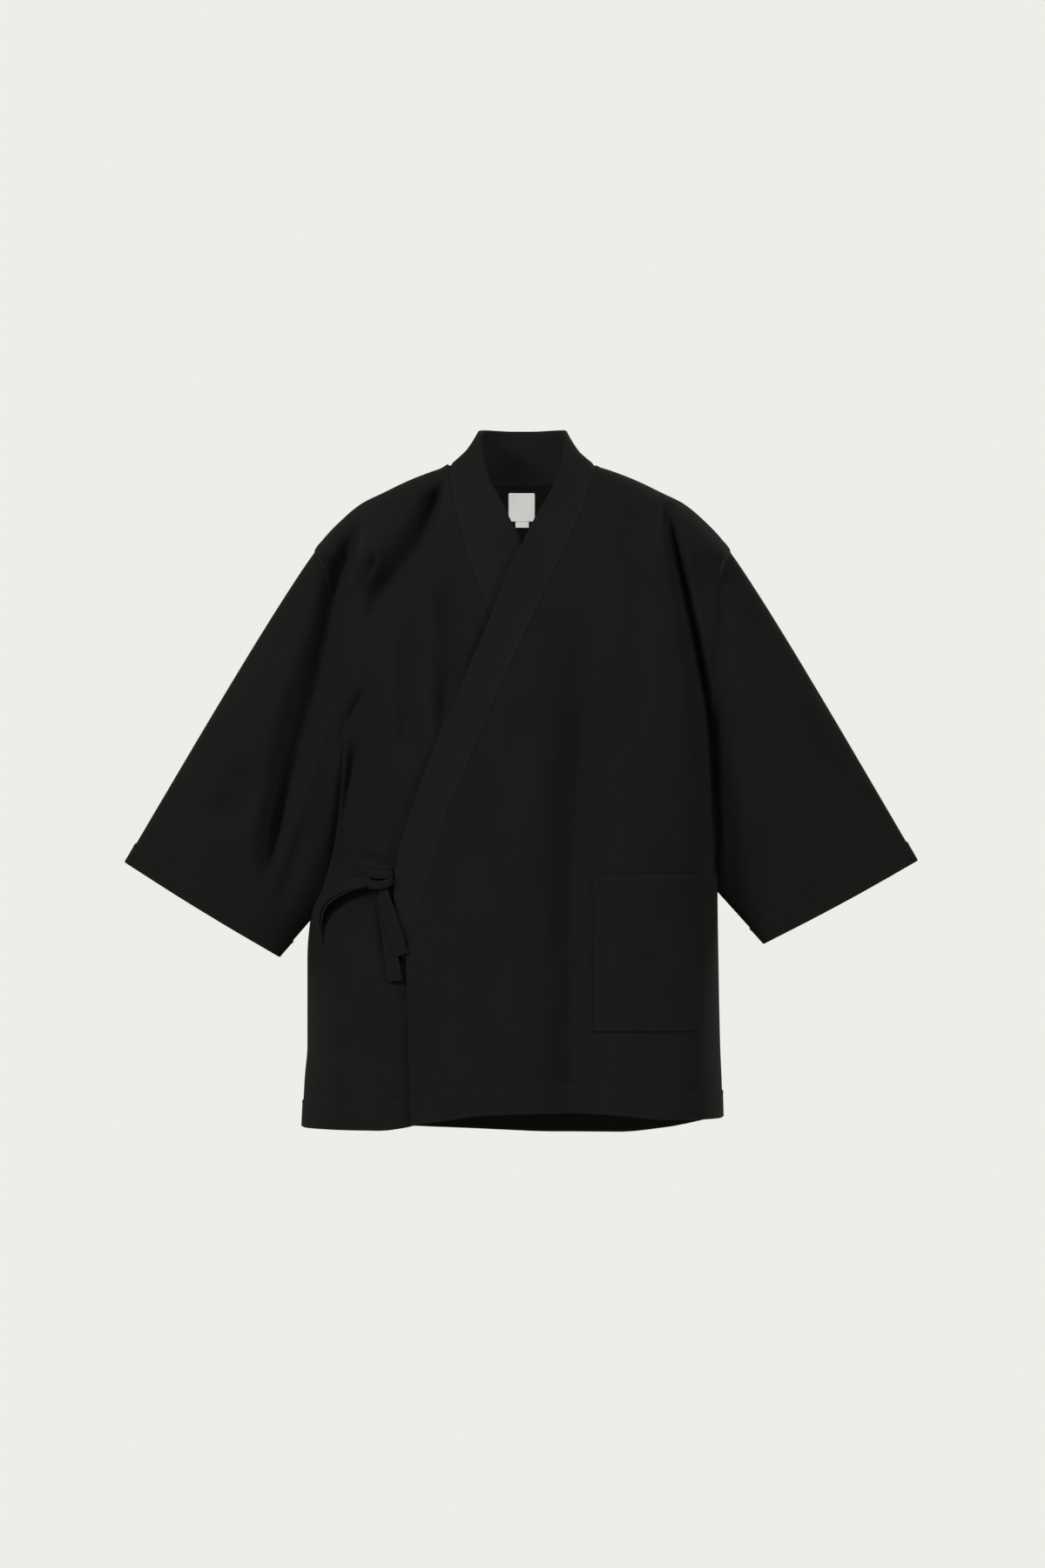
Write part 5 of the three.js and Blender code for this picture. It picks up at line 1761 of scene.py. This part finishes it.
def main() -> None:
    """Builds the jacket and its studio."""
    logging.basicConfig(level=logging.INFO, format="%(name)s %(message)s")
    finishes = Finishes(Cotton().material(), Thread().material(), Tape().material())
    shape = WornShape()
    grain = Grain()
    Studio().build()
    outer = FrontPanel("outer_front", "left_front", LEFT, True, Cut(0.43, 0.83, 0.254), grain, shape,
                       OUTER_SEAM, OUTER_HEM, False, ("left armhole fold",))
    inner = FrontPanel("inner_front", "right_front", RIGHT, False, Cut(0.43, 0.82, 0.234), grain, shape,
                       INNER_SEAM, INNER_HEM, True, ("right armhole fold", "right shoulder drag"))
    back_left = BackPanel("back_left", "left_back", LEFT, False, Cut(0.32, 0.83, 0.204), grain, shape)
    back_right = BackPanel("back_right", "right_back", RIGHT, True, Cut(0.32, 0.82, 0.207), grain, shape)
    sleeve_left = Sleeve("sleeve_left", "left_sleeve", LEFT, False, Cut(0.83, 0.42, 0.135), grain, shape)
    sleeve_right = Sleeve("sleeve_right", "right_sleeve", RIGHT, True, Cut(0.91, 0.42, 0.154), grain, shape)
    collar = CollarBand(shape, Cut(0.065, 1.54, 0.077))
    lines: list[StitchLine] = []
    for panel in (outer, inner, back_left, back_right):
        wall = panel.build(finishes)
        lines.append(stitch_line(wall, EdgeName.FOOT, HEM_DEPTH - STITCH_IN))
        slit = stitch_line(wall, EdgeName.LAST, SLIT_STITCH_IN)
        lines.append(slit.part(slit.points[:, 2] < SLIT_TOP + SLIT_STITCH_ABOVE))
    for sleeve in (sleeve_left, sleeve_right):
        lines.append(stitch_line(sleeve.build(finishes), EdgeName.FOOT, CUFF_HEM_DEPTH - STITCH_IN))
    band = collar.build(finishes)
    lines += [stitch_line(band, edge, COLLAR_STITCH_IN) for edge in (EdgeName.HEAD, EdgeName.FOOT)]
    pocket = PatchPocket(shape)
    lines += pocket.lines(pocket.build(finishes))
    lines += WovenLabel(shape).build(finishes)
    for strap in (
        Strap("tie_side", "side_tie", SIDE_TIE[::-1], shape, 13.0, narrow=0.75),
        BowLoop("tie_loop", "bow_loop", BOW_LOOP, shape, 16.0, thickness=1.5, narrow=0.6),
        Strap("tie_front", "front_tie", FRONT_TIE[::-1], shape, 15.0),
        Strap("tie_tail_long", "long_tail", LONG_TAIL, shape, 16.5, narrow=0.7),
        Strap("tie_tail_short", "short_tail", SHORT_TAIL, shape, 16.5, narrow=0.7),
    ):
        strap.build(finishes)
    Knot(shape).build(finishes)
    Stitching().build("stitches", lines, finishes.thread)


if __name__ == "__main__":
    main()
